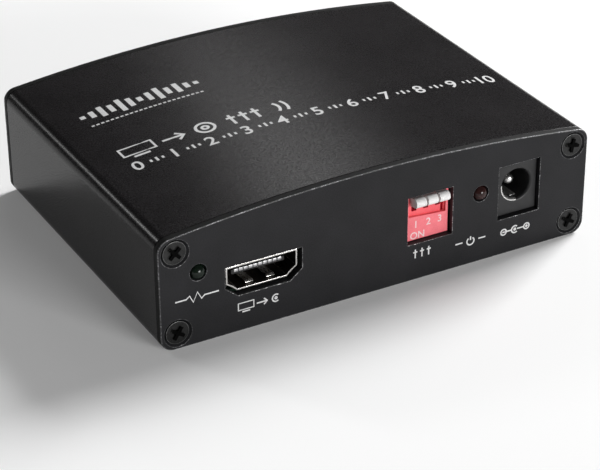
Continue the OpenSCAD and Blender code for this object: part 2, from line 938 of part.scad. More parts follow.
module jack_leg_blocks(grow) {
    at_jack()
    for (side = [-1, 1], share = jack_leg_shares)
        translate([side * (jack_body_w + jack_leg_t) / 2, plate_t + seat_gap + jack_body_depth * share, 0])
            block([-jack_leg_t / 2 - grow, -jack_leg_w / 2 - grow, -board_t - leg_below],
                [jack_leg_t / 2 + grow, jack_leg_w / 2 + grow, jack_leg_h]);
}

module headphone_jack_contacts() {
    color(gold_metal) jack_leg_blocks(0);
}

module headphone_jack_body() {
    front = plate_t + seat_gap;
    back = front + jack_body_depth;
    bore_len = back - jack_end_wall + jack_proud;
    color(socket_black)
    at_jack()
    difference() {
        union() {
            block([-jack_body_w / 2, front, 0], [jack_body_w / 2, back, jack_body_h]);
            translate([0, -jack_proud, jack_z]) into_y() cylinder(h = jack_proud + front, r = jack_ring_r);
        }
        translate([0, -jack_proud, jack_z]) {
            translate([0, -cut, 0]) into_y() cylinder(h = cut + bore_len, r = jack_bore_r);
            into_y() cylinder(h = jack_bevel, r1 = jack_bore_r + jack_bevel, r2 = jack_bore_r);
        }
    }
}

module at_optical() {
    at_rear(optical_x, board_top) children();
}

// Mouth of the optical socket with its two slanted lower corners, shrunk by a gap
function mouth_points(gap, foot) =
    let (
        half = optical_mouth_w / 2 - gap,
        low = optical_mouth_floor + foot
    )
    [
        [-half, optical_mouth_top], [half, optical_mouth_top], [half, low + optical_chamfer],
        [half - optical_chamfer, low], [-half + optical_chamfer, low], [-half, low + optical_chamfer]
    ];

module optical_leg_blocks(grow) {
    rows = [-1, 0, 1];
    pin_y = optical_recess + optical_depth - emitter_t / 2;
    at_optical()
    for (i = rows)
        translate([i * emitter_leg_pitch, pin_y, -(board_t + leg_below) / 2])
            cube([emitter_leg_w, emitter_leg_t, board_t + leg_below] + 2 * [grow, grow, 0], center = true);
}

module optical_legs() {
    color(bright_metal) optical_leg_blocks(0);
}

module optical_housing() {
    back = optical_recess + optical_depth;
    skirt_y = plate_t + seat_gap;
    cavity_y = optical_recess + optical_cavity_depth;
    pocket_top = optical_mouth_top + shutter_pocket_h;
    color(socket_black)
    at_optical()
    difference() {
        union() {
            block([-optical_w / 2, optical_recess, optical_skirt], [optical_w / 2, back, optical_h]);
            block([-optical_w / 2, skirt_y, 0], [optical_w / 2, back, optical_h]);
        }
        along_y(optical_recess - cut, cavity_y) polygon(mouth_points(0, 0));
        block([-optical_mouth_w / 2, optical_recess + shutter_lintel, shutter_axis_z],
            [optical_mouth_w / 2, cavity_y, pocket_top]);
        block([-optical_mouth_w / 2 - optical_notch_w, optical_recess - cut,
                optical_mid_z - optical_notch_h / 2],
            [optical_mouth_w / 2 + optical_notch_w, optical_recess + optical_notch_depth,
                optical_mid_z + optical_notch_h / 2]);
        translate([0, shutter_axis_y, shutter_axis_z]) rotate([0, 90, 0])
            cylinder(h = optical_mouth_w + shutter_pin_over, r = shutter_pin_r + shutter_pin_gap,
                center = true);
        translate([spring_x, shutter_axis_y, shutter_axis_z]) rotate([0, 90, 0])
            cylinder(h = spring_len, r = spring_pocket_r);
        translate([0, cavity_y - cut, optical_mid_z]) into_y()
            cylinder(h = optical_wall + 2 * cut, r = emitter_lens_r + emitter_gap);
        block([-emitter_w / 2 - emitter_gap, cavity_y + optical_wall, -cut],
            [emitter_w / 2 + emitter_gap, back + cut, emitter_h + emitter_gap]);
    }
}

module optical_shutter() {
    hub_w = optical_mouth_w - 2 * shutter_side_gap;
    back_y = shutter_face_y + shutter_t;
    color(part_black)
    at_optical()
    difference() {
        union() {
            translate([0, shutter_axis_y, shutter_axis_z]) rotate([0, 90, 0])
                cylinder(h = hub_w, r = shutter_hub_r, center = true);
            block([-hub_w / 2, shutter_axis_y, shutter_axis_z - shutter_hub_r],
                [hub_w / 2, back_y, shutter_axis_z + shutter_pin_r]);
            intersection() {
                along_y(shutter_face_y, back_y) polygon(mouth_points(shutter_side_gap, shutter_foot_gap));
                block([-hub_w / 2, 0, 0], [hub_w / 2, back_y, shutter_axis_z + shutter_pin_r]);
            }
        }
        translate([0, shutter_axis_y, shutter_axis_z]) rotate([0, 90, 0])
            cylinder(h = optical_mouth_w, r = shutter_pin_r + shutter_pin_gap, center = true);
    }
}

module optical_hinge_pin() {
    color(bright_metal)
    at_optical()
    translate([0, shutter_axis_y, shutter_axis_z]) rotate([0, 90, 0])
        cylinder(h = optical_mouth_w + shutter_pin_over - shutter_side_gap, r = shutter_pin_r, center = true);
}

// Torsion spring beside the shutter, wound round the hinge pin inside the side wall
function spring_point(t) =
    let (turned = t * spring_turns * 360)
    [t * spring_turns * spring_pitch, spring_r * cos(turned), spring_r * sin(turned)];

function spring_ring(t) =
    let (turn = t * spring_turns * 360, centre = spring_point(t))
    [for (k = [0 : spring_sides - 1])
        let (a = k * 360 / spring_sides)
        centre + spring_wire_r * [sin(a), cos(a) * cos(turn), cos(a) * sin(turn)]];

module optical_spring() {
    last = spring_rings * spring_turns;
    points = [for (i = [0 : last]) each spring_ring(i / last)];
    sides = [for (i = [0 : last - 1], k = [0 : spring_sides - 1])
        let (
            here = i * spring_sides + k,
            next = i * spring_sides + (k + 1) % spring_sides
        )
        each [[here, next, next + spring_sides], [here, next + spring_sides, here + spring_sides]]];
    start = [for (k = [1 : spring_sides - 2]) [0, k + 1, k]];
    stop = [for (k = [1 : spring_sides - 2]) [0, k, k + 1] + last * spring_sides * [1, 1, 1]];
    color(bright_metal)
    at_optical()
    translate([spring_x + spring_wire_r, shutter_axis_y, shutter_axis_z])
        polyhedron(points = points, faces = concat(sides, start, stop));
}

module optical_emitter() {
    cavity_y = optical_recess + optical_cavity_depth;
    face_y = cavity_y + optical_wall + emitter_gap;
    color("#3a3436")
    at_optical() {
        block([-emitter_w / 2, face_y, 0], [emitter_w / 2, face_y + emitter_t, emitter_h]);
        translate([0, cavity_y + emitter_lens_r / 2, optical_mid_z]) {
            into_y() cylinder(h = face_y - cavity_y, r = emitter_lens_r);
        }
    }
}

// A row of flat gull leads on each of two or four sides of a chip
module lead_rows(size, count, pitch, width, sides) {
    for (turn = sides, i = [0 : count - 1]) {
        edge = turn % 180 == 0 ? size[0] / 2 : size[1] / 2;
        along = (i - (count - 1) / 2) * pitch;
        rotate(turn) {
            block([edge, along - width / 2, chip_lift + size[2] / 2 - chip_lead_t],
                [edge + chip_lead_reach / 2, along + width / 2, chip_lift + size[2] / 2]);
            block([edge + chip_lead_reach / 2 - chip_lead_t, along - width / 2, 0],
                [edge + chip_lead_reach / 2, along + width / 2, chip_lift + size[2] / 2]);
            block([edge + chip_lead_reach / 2 - chip_lead_t, along - width / 2, 0],
                [edge + chip_lead_reach, along + width / 2, chip_lead_t]);
        }
    }
}

module chip_block(size) {
    translate([-size[0] / 2, -size[1] / 2, chip_lift]) cube(size);
}

module main_chip() {
    color(part_black) on_board(chip_shares) chip_block([chip_w, chip_w, chip_t]);
}

module main_chip_leads() {
    color(bright_metal)
    on_board(chip_shares)
        lead_rows([chip_w, chip_w, chip_t], chip_lead_count, chip_lead_pitch, chip_lead_w, [0, 90, 180, 270]);
}

module heat_sink() {
    step = (sink_w - sink_fin_t) / (sink_fins - 1);
    color(part_black)
    on_board(chip_shares)
    translate([-sink_w / 2, -sink_w / 2, chip_lift + chip_t]) {
        cube([sink_w, sink_w, sink_base_t]);
        for (i = [0 : sink_fins - 1]) translate([i * step, 0, 0]) cube([sink_fin_t, sink_w, sink_h]);
    }
}

module audio_chip() {
    color(part_black) on_board(sound_shares) chip_block(sound_chip);
}

module audio_chip_leads() {
    color(bright_metal)
    on_board(sound_shares) lead_rows(sound_chip, sound_lead_count, wide_lead_pitch, wide_lead_w, [0, 180]);
}

module memory_chip() {
    color(part_black) on_board(memory_shares) chip_block(memory_chip_size);
}

module memory_chip_leads() {
    color(bright_metal)
    on_board(memory_shares)
        lead_rows(memory_chip_size, memory_lead_count, wide_lead_pitch * 3 / 4, wide_lead_w, [0, 180]);
}

// Metal can with round ends
module crystal() {
    end_r = crystal_size[1] / 2;
    end_x = crystal_size[0] / 2 - end_r;
    color(bright_metal)
    on_board(crystal_shares) {
        for (side = [-1, 1]) translate([side * end_x, 0, 0]) cylinder(h = crystal_size[2], r = end_r);
        block([-end_x, -end_r, 0], [end_x, end_r, crystal_size[2]]);
    }
}

module filter_capacitors() {
    for (shares = can_shares)
        on_board(shares) {
            color(part_black) block([-can_r, -can_r, 0], [can_r, can_r, can_base_t]);
            color(bright_metal) cylinder(h = can_h - can_bevel, r = can_r);
            color(bright_metal)
                translate([0, 0, can_h - can_bevel])
                    cylinder(h = can_bevel, r1 = can_r, r2 = can_r - can_bevel);
        }
}

module power_inductor() {
    color("#4a4644")
    on_board(coil_shares) {
        block([-coil_w / 2, -coil_w / 2, 0], [coil_w / 2, coil_w / 2, coil_flange_t]);
        cylinder(h = coil_h, r = coil_core_r);
        translate([0, 0, coil_h - coil_flange_t]) cylinder(h = coil_flange_t, r = coil_w / 2);
    }
}

module voltage_regulator() {
    color(part_black)
    on_board(regulator_shares) chip_block(regulator_size);
    color(bright_metal)
    on_board(regulator_shares) {
        block([-regulator_tab_w / 2, regulator_size[1] / 2, 0],
            [regulator_tab_w / 2, regulator_size[1] / 2 + regulator_lead_reach, chip_lift + chip_lead_t]);
        for (i = [-1, 0, 1])
            translate([i * regulator_lead_pitch, 0, 0])
                block([-regulator_lead_w / 2, -regulator_size[1] / 2 - regulator_lead_reach, 0],
                    [regulator_lead_w / 2, -regulator_size[1] / 2, chip_lift + chip_lead_t]);
    }
}

module chip_resistors() {
    color(part_black)
    for (shares = resistor_shares, i = [0 : resistor_grid[0] - 1], j = [0 : resistor_grid[1] - 1])
        on_board(shares)
            translate([i * resistor_step[0], j * resistor_step[1], 0])
                translate([-resistor_size[0] / 2, -resistor_size[1] / 2, 0]) cube(resistor_size);
}

shell();
front_plate();
rear_plate();
front_screws();
rear_screws();
main_board();
video_shell("in");  // video_in_shell
video_tongue("in");  // video_in_tongue
video_contacts("in");  // video_in_contacts
video_shell("out");  // video_out_shell
video_tongue("out");  // video_out_tongue
video_contacts("out");  // video_out_contacts
dip_body();
dip_key(-1);  // dip_key_1
dip_key(0);  // dip_key_2
dip_key(1);  // dip_key_3
dip_pivot_pin();
dip_legs();
status_lamp();
power_lamp();
lamp_leads();
power_jack_body();
power_jack_pin();
power_jack_spring();
phono_block();
phono_barrel();
phono_insulator();
phono_contact();
headphone_jack_body();
headphone_jack_contacts();
optical_housing();
optical_shutter();
optical_hinge_pin();
optical_spring();
optical_emitter();
optical_legs();
main_chip();
main_chip_leads();
heat_sink();
audio_chip();
audio_chip_leads();
memory_chip();
memory_chip_leads();
crystal();
filter_capacitors();
power_inductor();
voltage_regulator();
chip_resistors();
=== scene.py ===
import math
import bmesh
import bpy
from mathutils import Matrix, Quaternion, Vector


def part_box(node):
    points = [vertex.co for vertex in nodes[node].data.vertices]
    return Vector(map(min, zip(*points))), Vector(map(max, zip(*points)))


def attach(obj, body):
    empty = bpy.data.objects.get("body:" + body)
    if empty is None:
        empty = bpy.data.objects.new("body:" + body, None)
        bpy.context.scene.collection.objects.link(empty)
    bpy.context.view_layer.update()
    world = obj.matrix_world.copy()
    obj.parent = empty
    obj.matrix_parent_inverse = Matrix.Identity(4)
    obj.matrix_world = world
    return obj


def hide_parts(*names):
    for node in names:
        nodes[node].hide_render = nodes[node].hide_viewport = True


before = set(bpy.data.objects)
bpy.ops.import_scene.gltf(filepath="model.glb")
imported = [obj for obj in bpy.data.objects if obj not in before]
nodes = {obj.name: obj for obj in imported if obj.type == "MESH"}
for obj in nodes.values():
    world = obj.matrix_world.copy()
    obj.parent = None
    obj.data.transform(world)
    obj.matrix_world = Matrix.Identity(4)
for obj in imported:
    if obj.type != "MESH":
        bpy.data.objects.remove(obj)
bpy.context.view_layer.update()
mm = 0.001
snug = 0.002 * mm  # corners this near to a plane lie in it
print("frame loaded:", len(nodes), "nodes")


# camera, floor and lamps

view = {
    "place": (-183.215 * mm, -340.187 * mm, 212.525 * mm),
    "target": (2.015 * mm, 0, -6.348 * mm),
    "lens": 130.74,
    "sensorWidth": 36,
    "leanDegrees": -0.459,
    "clip": (0.01, 20),
}

studio = {
    "floorSize": 6.0,
    "floorColours": ((0.85, 0.85, 0.85, 1), (0.86, 0.86, 0.86, 1)),
    "floorPatch": 0.4,
    "floorLift": 0.1,
    "surround": (0.06, 0.06, 0.06, 1),
    "lamps": {
        # name: place, size across and up in metres, watts
        "rearStrip": ((0.93, 1.84, 1.32), (0.3, 0.38), 1.6),
        "rightSoftbox": ((1.69, 0.5, 1.0), (0.8, 0.8), 66),
        "frontSoftbox": ((0.5, -1.88, 0.42), (0.8, 0.5), 29),
        "leftStrip": ((-0.99, 1.62, 0.95), (0.2, 0.3), 4.6),
    },
}


def makeCamera():
    data = bpy.data.cameras.new("camera")
    data.lens = view["lens"]
    data.sensor_width = view["sensorWidth"]
    data.clip_start, data.clip_end = view["clip"]
    camera = bpy.data.objects.new("camera", data)
    bpy.context.scene.collection.objects.link(camera)
    sight = Vector(view["target"]) - Vector(view["place"])
    lean = Quaternion((0, 0, 1), math.radians(view["leanDegrees"]))
    camera.rotation_mode = "QUATERNION"
    camera.rotation_quaternion = sight.to_track_quat("-Z", "Y") @ lean
    camera.location = view["place"]
    bpy.context.scene.camera = camera


def makeLamps():
    for name, (place, size, watts) in studio["lamps"].items():
        data = bpy.data.lights.new(name, "AREA")
        data.shape = "RECTANGLE"
        data.size, data.size_y = size
        data.energy = watts
        lamp = bpy.data.objects.new(name, data)
        lamp.location = place
        lamp.rotation_mode = "QUATERNION"
        lamp.rotation_quaternion = (-Vector(place)).to_track_quat("-Z", "Y")
        bpy.context.scene.collection.objects.link(lamp)


def makeSurround():
    world = bpy.data.worlds.new("studio")
    world.use_nodes = True
    background = world.node_tree.nodes["Background"]
    background.inputs["Color"].default_value = studio["surround"]
    background.inputs["Strength"].default_value = 1
    bpy.context.scene.world = world
    bpy.context.scene.view_settings.view_transform = "Standard"


# shader maths: a socket that can stand in a Python expression

class Signal:
    def __init__(self, finish, socket):
        self.finish = finish
        self.socket = socket

    def maths(self, operation, first, second):
        return self.finish.node("ShaderNodeMath", {"operation": operation}, {0: first, 1: second})

    def __add__(self, other):
        return self.maths("ADD", self, other)

    def __radd__(self, other):
        return self.maths("ADD", other, self)

    def __mul__(self, other):
        return self.maths("MULTIPLY", self, other)

    def __rmul__(self, other):
        return self.maths("MULTIPLY", other, self)


class Finish:
    def __init__(self, name, constants):
        self.material = bpy.data.materials.new(name)
        self.material.use_nodes = True
        self.tree = self.material.node_tree
        self.tree.nodes.clear()
        output = self.tree.nodes.new("ShaderNodeOutputMaterial")
        self.shader = self.tree.nodes.new("ShaderNodeBsdfPrincipled")
        self.tree.links.new(self.shader.outputs[0], output.inputs["Surface"])
        for socket, value in constants.items():
            self.shader.inputs[socket].default_value = value
        self.place = self.node("ShaderNodeTexCoord", {}, {}, "Object")

    def feed(self, socket, value):
        if isinstance(value, Signal):
            self.tree.links.new(value.socket, socket)
        else:
            socket.default_value = value

    def node(self, kind, settings, values, output=0):
        made = self.tree.nodes.new(kind)
        for key, value in settings.items():
            setattr(made, key, value)
        for key, value in values.items():
            self.feed(made.inputs[key], value)
        return Signal(self, made.outputs[output])

    def set(self, socket, value):
        self.feed(self.shader.inputs[socket], value)

    def noise(self, size, detail=2, stretch=(1, 1, 1)):
        place = self.node("ShaderNodeVectorMath", {"operation": "MULTIPLY"}, {0: self.place, 1: stretch})
        values = {"Vector": place, "Scale": 1 / size, "Detail": detail, "Roughness": 0.55}
        return self.node("ShaderNodeTexNoise", {}, values)

    def cells(self, size, feature="F1"):
        values = {"Vector": self.place, "Scale": 1 / size}
        return self.node("ShaderNodeTexVoronoi", {"feature": feature}, values)

    def span(self, value, low, high, toLow=0.0, toHigh=1.0):
        return self.node("ShaderNodeMapRange", {}, {0: value, 1: low, 2: high, 3: toLow, 4: toHigh})

    def blend(self, share, first, second):
        return self.node("ShaderNodeMix", {"data_type": "RGBA"}, {0: share, 6: first, 7: second}, 2)

    def relief(self, height, depth):
        bump = self.node("ShaderNodeBump", {}, {"Height": height, "Distance": depth, "Strength": 1})
        self.set("Normal", bump)


# finishes

def blackAnodised(name, dark, light, rough, grainSize, grainDepth, shine=0.16):
    finish = Finish(name, {"Specular IOR Level": shine})
    grain = finish.noise(grainSize, 3)
    cloud = finish.noise(9 * mm, 2)
    tone = finish.span(0.7 * grain + 0.3 * cloud, 0.35, 0.65)
    finish.set("Base Color", finish.blend(tone, dark, light))
    finish.set("Roughness", finish.span(grain, 0.3, 0.7, rough - 0.05, rough + 0.07))
    finish.relief(grain, grainDepth)
    return finish.material


# worn spots in the given colour; on the cut-out edges that colour is light, a painted highlight over the
# wear
def wornEdge(name, bareAndHighlight):
    finish = Finish(name, {"Specular IOR Level": 0.5})
    rub = finish.span(finish.noise(0.9 * mm, 3), 0.38, 0.62)
    chips = finish.span(finish.noise(0.25 * mm, 2), 0.42, 0.6)
    finish.set("Base Color", finish.blend(rub * chips, (0.03, 0.03, 0.031, 1), bareAndHighlight))
    finish.set("Metallic", finish.span(rub, 0, 1, 0.1, 0.55))
    finish.set("Roughness", finish.span(chips, 0, 1, 0.5, 0.34))
    return finish.material


def blackOxide(name, dark, light):
    finish = Finish(name, {"Specular IOR Level": 0.45})
    grain = finish.noise(0.12 * mm, 2)
    finish.set("Base Color", finish.blend(finish.span(grain, 0.35, 0.65), dark, light))
    finish.set("Roughness", finish.span(grain, 0.3, 0.7, 0.26, 0.4))
    finish.set("Metallic", finish.span(finish.noise(1.4 * mm), 0.3, 0.7, 0.2, 0.5))
    finish.relief(grain, 0.006 * mm)
    return finish.material


def printInk(name, thin, full):
    finish = Finish(name, {"Specular IOR Level": 0.3})
    speck = finish.span(finish.noise(0.16 * mm, 2), 0.3, 0.6)
    finish.set("Base Color", finish.blend(speck, thin, full))
    finish.set("Roughness", finish.span(speck, 0, 1, 0.62, 0.5))
    return finish.material


def brushedMetal(name, dark, light, rough, along=(1, 1, 1), size=0.3 * mm, depth=0.0015 * mm):
    finish = Finish(name, {})
    streak = finish.noise(size, 3, along)
    cloud = finish.noise(3 * mm, 2)
    finish.set("Base Color", finish.blend(finish.span(0.6 * streak + 0.4 * cloud, 0.35, 0.65), dark, light))
    finish.set("Metallic", finish.span(cloud, 0.2, 0.8, 0.92, 1.0))
    finish.set("Roughness", finish.span(streak, 0.3, 0.7, rough - 0.05, rough + 0.08))
    finish.relief(streak, depth)
    return finish.material


def mouldedPlastic(name, dark, light, rough, grainSize=0.14 * mm, depth=0.008 * mm):
    finish = Finish(name, {"Specular IOR Level": 0.4})
    grain = finish.noise(grainSize, 2)
    cloud = finish.noise(2.5 * mm, 2)
    finish.set("Base Color", finish.blend(finish.span(0.5 * grain + 0.5 * cloud, 0.35, 0.65), dark, light))
    finish.set("Roughness", finish.span(grain, 0.3, 0.7, rough - 0.06, rough + 0.08))
    finish.relief(grain, depth)
    return finish.material


def lampResin(name, deep, bright):
    finish = Finish(name, {"Coat Roughness": 0.2, "Specular IOR Level": 0.08})
    swirl = finish.noise(0.8 * mm, 2)
    finish.set("Base Color", finish.blend(finish.span(swirl, 0.35, 0.65), deep, bright))
    finish.set("Roughness", finish.span(swirl, 0.3, 0.7, 0.14, 0.22))
    finish.set("Coat Weight", finish.span(swirl, 0.3, 0.7, 0.36, 0.46))
    return finish.material


def circuitBoard():
    finish = Finish("circuitBoard", {"Specular IOR Level": 0.5})
    tracks = finish.cells(2.2 * mm, "DISTANCE_TO_EDGE")
    track = finish.span(tracks, 0.05, 0.09, 1.0, 0.0)
    weave = finish.noise(0.5 * mm, 2)
    mask = finish.blend(finish.span(weave, 0.35, 0.65), (0.002, 0.009, 0.005, 1), (0.003, 0.013, 0.007, 1))
    finish.set("Base Color", finish.blend(track, mask, (0.007, 0.026, 0.014, 1)))
    finish.set("Roughness", finish.span(weave, 0.3, 0.7, 0.3, 0.42))
    finish.relief(track + 0.3 * weave, 0.02 * mm)
    return finish.material


def ferriteGrey():
    finish = Finish("ferriteGrey", {"Specular IOR Level": 0.3})
    pores = finish.cells(0.3 * mm)
    grain = finish.noise(0.2 * mm, 3)
    finish.set("Base Color", finish.blend(pores, (0.03, 0.03, 0.032, 1), (0.075, 0.073, 0.07, 1)))
    finish.set("Roughness", finish.span(grain, 0.3, 0.7, 0.62, 0.8))
    finish.relief(grain + 0.6 * pores, 0.02 * mm)
    return finish.material


def paleFloor():
    finish = Finish("paleFloor", {"Roughness": 0.9, "Specular IOR Level": 0.0, "Emission Strength": 1})
    cloud = finish.noise(studio["floorPatch"], 1)
    finish.set("Base Color", finish.blend(cloud, *studio["floorColours"]))
    # the lift shows only in what the camera sees, directly or mirrored
    seen = finish.node("ShaderNodeLightPath", {}, {}, "Is Camera Ray")
    for ray in ("Is Glossy Ray", "Is Transmission Ray"):
        seen = seen + finish.node("ShaderNodeLightPath", {}, {}, ray)
    lift = studio["floorLift"]
    finish.set("Emission Color", finish.blend(seen, (0, 0, 0, 1), (lift, lift, lift, 1)))
    return finish.material


finishes = {
    "shell": blackAnodised("shellAnodised", (0.0065, 0.0058, 0.0062, 1), (0.0165, 0.0152, 0.0162, 1), 0.26,
        0.28 * mm, 0.006 * mm),
    "plate": blackAnodised("plateAnodised", (0.009, 0.009, 0.0098, 1), (0.02, 0.02, 0.022, 1), 0.42,
        0.22 * mm, 0.008 * mm),
    "plateRim": blackAnodised("rimAnodised", (0.003, 0.003, 0.003, 1), (0.008, 0.008, 0.008, 1), 0.6,
        0.3 * mm, 0.006 * mm),
    "wornEdge": wornEdge("wornEdge", (0.26, 0.26, 0.27, 1)),
    # edges of the cut-outs: wear lightened into a painted highlight
    "cutEdgeWearAndHighlight": wornEdge("cutEdgeWearAndHighlight", (0.6, 0.6, 0.61, 1)),
    "screw": blackOxide("screwOxide", (0.006, 0.006, 0.006, 1), (0.018, 0.018, 0.018, 1)),
    "screwEdge": blackOxide("screwEdgeOxide", (0.03, 0.03, 0.03, 1), (0.15, 0.15, 0.15, 1)),
    # near-black and almost without shine: painted shade in the screws' driver recesses and pits
    "recessPaintedShade": blackAnodised("screwRecessPaintedShade", (0.0006, 0.0006, 0.0006, 1), (0.003, 0.003, 0.003, 1), 0.6,
        0.2 * mm, 0.006 * mm, 0.02),
    # light ends of the recess blades: a painted highlight, flecks where light falls into the recess
    "recessEndHighlight": blackOxide("recessEndHighlightOxide", (0.2, 0.2, 0.2, 1), (0.5, 0.5, 0.5, 1)),
    # darker steel: painted shade for the inside of the video shells and the phono contact
    "steelShade": brushedMetal("steelShade", (0.05, 0.044, 0.04, 1), (0.12, 0.105, 0.095, 1), 0.3,
        (1, 0.3, 1), 1.1 * mm),
    "switchWindow": mouldedPlastic("switchWindow", (0.78, 0.095, 0.12, 1), (0.88, 0.135, 0.15, 1), 0.36),
    # darker red inside the blade slots and the slit: painted shade
    "switchSlotPaintedShade": mouldedPlastic("switchSlotPaintedShade", (0.5, 0.008, 0.03, 1), (0.66, 0.014, 0.045, 1), 0.5),
    "ink": printInk("whiteInk", (0.52, 0.52, 0.52, 1), (0.7, 0.7, 0.7, 1)),
    "switchInk": printInk("switchInk", (0.74, 0.5, 0.5, 1), (0.86, 0.66, 0.66, 1)),
    "steel": brushedMetal("socketSteel", (0.5, 0.48, 0.46, 1), (0.74, 0.73, 0.71, 1), 0.26, (1, 0.2, 1)),
    "nickel": brushedMetal("socketNickel", (0.68, 0.67, 0.65, 1), (0.86, 0.86, 0.85, 1), 0.3, (1, 0.3, 1),
        1.2 * mm, 0.0001 * mm),
    "gold": brushedMetal("contactGold", (0.72, 0.46, 0.16, 1), (0.92, 0.66, 0.3, 1), 0.22),
    "tin": brushedMetal("tinnedLead", (0.5, 0.5, 0.51, 1), (0.72, 0.72, 0.73, 1), 0.34),
    "sink": brushedMetal("sinkAluminium", (0.42, 0.43, 0.44, 1), (0.6, 0.61, 0.62, 1), 0.38, (0.2, 1, 1)),
    "can": brushedMetal("canMetal", (0.55, 0.55, 0.56, 1), (0.78, 0.78, 0.79, 1), 0.28, (1, 1, 0.2)),
    "crystal": brushedMetal("crystalSteel", (0.6, 0.6, 0.59, 1), (0.8, 0.8, 0.78, 1), 0.24, (0.2, 1, 1)),
    "socket": mouldedPlastic("socketPlastic", (0.008, 0.008, 0.0085, 1), (0.018, 0.018, 0.019, 1), 0.42),
    "tongue": mouldedPlastic("tonguePlastic", (0.012, 0.012, 0.012, 1), (0.022, 0.021, 0.021, 1), 0.36),
    # lighter plastic: painted light on the walls inside the optical mouth, where little light reaches
    "mouthWallPaintedLight": mouldedPlastic("mouthWallPaintedLight", (0.03, 0.03, 0.031, 1), (0.055, 0.055, 0.056, 1), 0.42),
    "switchRed": mouldedPlastic("switchRed", (0.78, 0.155, 0.185, 1), (0.9, 0.21, 0.24, 1), 0.42),
    "keyWhite": mouldedPlastic("keyWhite", (0.74, 0.73, 0.72, 1), (0.86, 0.86, 0.85, 1), 0.4),
    "chip": mouldedPlastic("chipPlastic", (0.012, 0.012, 0.013, 1), (0.026, 0.026, 0.027, 1), 0.55),
    "greenLamp": lampResin("greenLampResin", (0.003, 0.006, 0.004, 1), (0.005, 0.0115, 0.0065, 1)),
    "redLamp": lampResin("redLampResin", (0.018, 0.0075, 0.007, 1), (0.034, 0.012, 0.011, 1)),
    "board": circuitBoard(),
    "ferrite": ferriteGrey(),
}
print("finishes:", len(finishes))


# modelling helpers

def clearSelection():
    active = bpy.context.view_layer.objects.active
    if active is not None and active.mode != "OBJECT":
        bpy.ops.object.mode_set(mode="OBJECT")
    bpy.ops.object.select_all(action="DESELECT")


def pick(piece, *others):
    clearSelection()
    for each in (piece, *others):
        each.select_set(True)
    bpy.context.view_layer.objects.active = piece


def editPiece(piece, mode):
    pick(piece)
    bpy.ops.object.mode_set(mode="EDIT")
    bpy.ops.mesh.select_mode(type=mode)
    bpy.ops.mesh.select_all(action="DESELECT")


def copyPiece(source, pieceName):
    piece = bpy.data.objects.new(pieceName, source.data.copy())
    bpy.context.scene.collection.objects.link(piece)
    return piece


copyValues = {"mergeWithin": 0.0003 * mm, "flatDegrees": 0.15}


def copyNode(nodeName, pieceName):
    # a CAD piece with its loose triangles merged into whole faces
    piece = copyPiece(nodes[nodeName], pieceName)
    piece.data.materials.clear()
    pick(piece)
    bpy.ops.mesh.customdata_custom_splitnormals_clear()
    bpy.ops.object.mode_set(mode="EDIT")
    bpy.ops.mesh.select_all(action="SELECT")
    bpy.ops.mesh.remove_doubles(threshold=copyValues["mergeWithin"])
    bpy.ops.mesh.dissolve_limited(angle_limit=math.radians(copyValues["flatDegrees"]))
    bpy.ops.mesh.normals_make_consistent(inside=False)
    bpy.ops.object.mode_set(mode="OBJECT")
    return piece


def applyModifier(piece, kind, settings):
    pick(piece)
    modifier = piece.modifiers.new(kind.lower(), kind)
    for key, value in settings.items():
        setattr(modifier, key, value)
    bpy.ops.object.modifier_apply(modifier=modifier.name)


def roundEdges(piece, width, angle=35, segments=2, edgeSlot=-1):
    applyModifier(piece, "BEVEL", {
        "width": width,
        "segments": segments,
        "limit_method": "ANGLE",
        "angle_limit": math.radians(angle),
        "use_clamp_overlap": False,
        "miter_outer": "MITER_ARC",
        "material": edgeSlot,
    })


def placeInMesh(piece):
    pick(piece)
    bpy.ops.object.transform_apply(location=True, rotation=True, scale=True)


def finishPiece(piece, body, looks, replaced=(), smooth=35):
    pick(piece)
    while len(piece.data.materials) < len(looks):
        piece.data.materials.append(None)
    for index, look in enumerate(looks):
        piece.data.materials[index] = finishes[look]
    bpy.ops.object.shade_smooth_by_angle(angle=math.radians(smooth))
    applyModifier(piece, "WEIGHTED_NORMAL", {"keep_sharp": True, "weight": 100})
    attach(piece, body)
    if replaced:
        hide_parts(*replaced)


def closedLoops(cage, level, angle=30):
    # sharp edges in the plane at Y = level, grouped into closed loops, the widest loop first
    left = {edge for edge in cage.edges
        if all(abs(corner.co.y - level) < snug for corner in edge.verts)
        and len(edge.link_faces) == 2 and edge.calc_face_angle() > math.radians(angle)}
    loops = []
    while left:
        loop = [left.pop()]
        for edge in loop:
            near = [other for corner in edge.verts for other in corner.link_edges if other in left]
            left.difference_update(near)
            loop.extend(near)
        loops.append(loop)
    return sorted(loops, key=loopWidth, reverse=True)


def loopWidth(loop):
    across = [corner.co.x for edge in loop for corner in edge.verts]
    return max(across) - min(across)


outline = slice(0, 1)  # the widest of the loops


def bevelLoops(piece, level, wanted, width, segments=2, edgeSlot=-1):
    editPiece(piece, "EDGE")
    cage = bmesh.from_edit_mesh(piece.data)
    for loop in closedLoops(cage, level)[wanted]:
        for edge in loop:
            edge.select_set(True)
    bmesh.update_edit_mesh(piece.data)
    bpy.ops.mesh.bevel(offset=width, segments=segments, affect="EDGES", clamp_overlap=False,
        material=edgeSlot)
    bpy.ops.object.mode_set(mode="OBJECT")


def selectLevel(piece, axis, level):
    # every face that lies in one plane square to an axis
    editPiece(piece, "FACE")
    cage = bmesh.from_edit_mesh(piece.data)
    for face in cage.faces:
        if all(abs(corner.co[axis] - level) < snug for corner in face.verts):
            face.select_set(True)
    bmesh.update_edit_mesh(piece.data)


def giveLooks(piece, looks):
    for look in looks:
        piece.data.materials.append(finishes[look])


def paintSelected(piece, slotIndex):
    piece.active_material_index = slotIndex
    bpy.ops.object.material_slot_assign()
    bpy.ops.object.mode_set(mode="OBJECT")


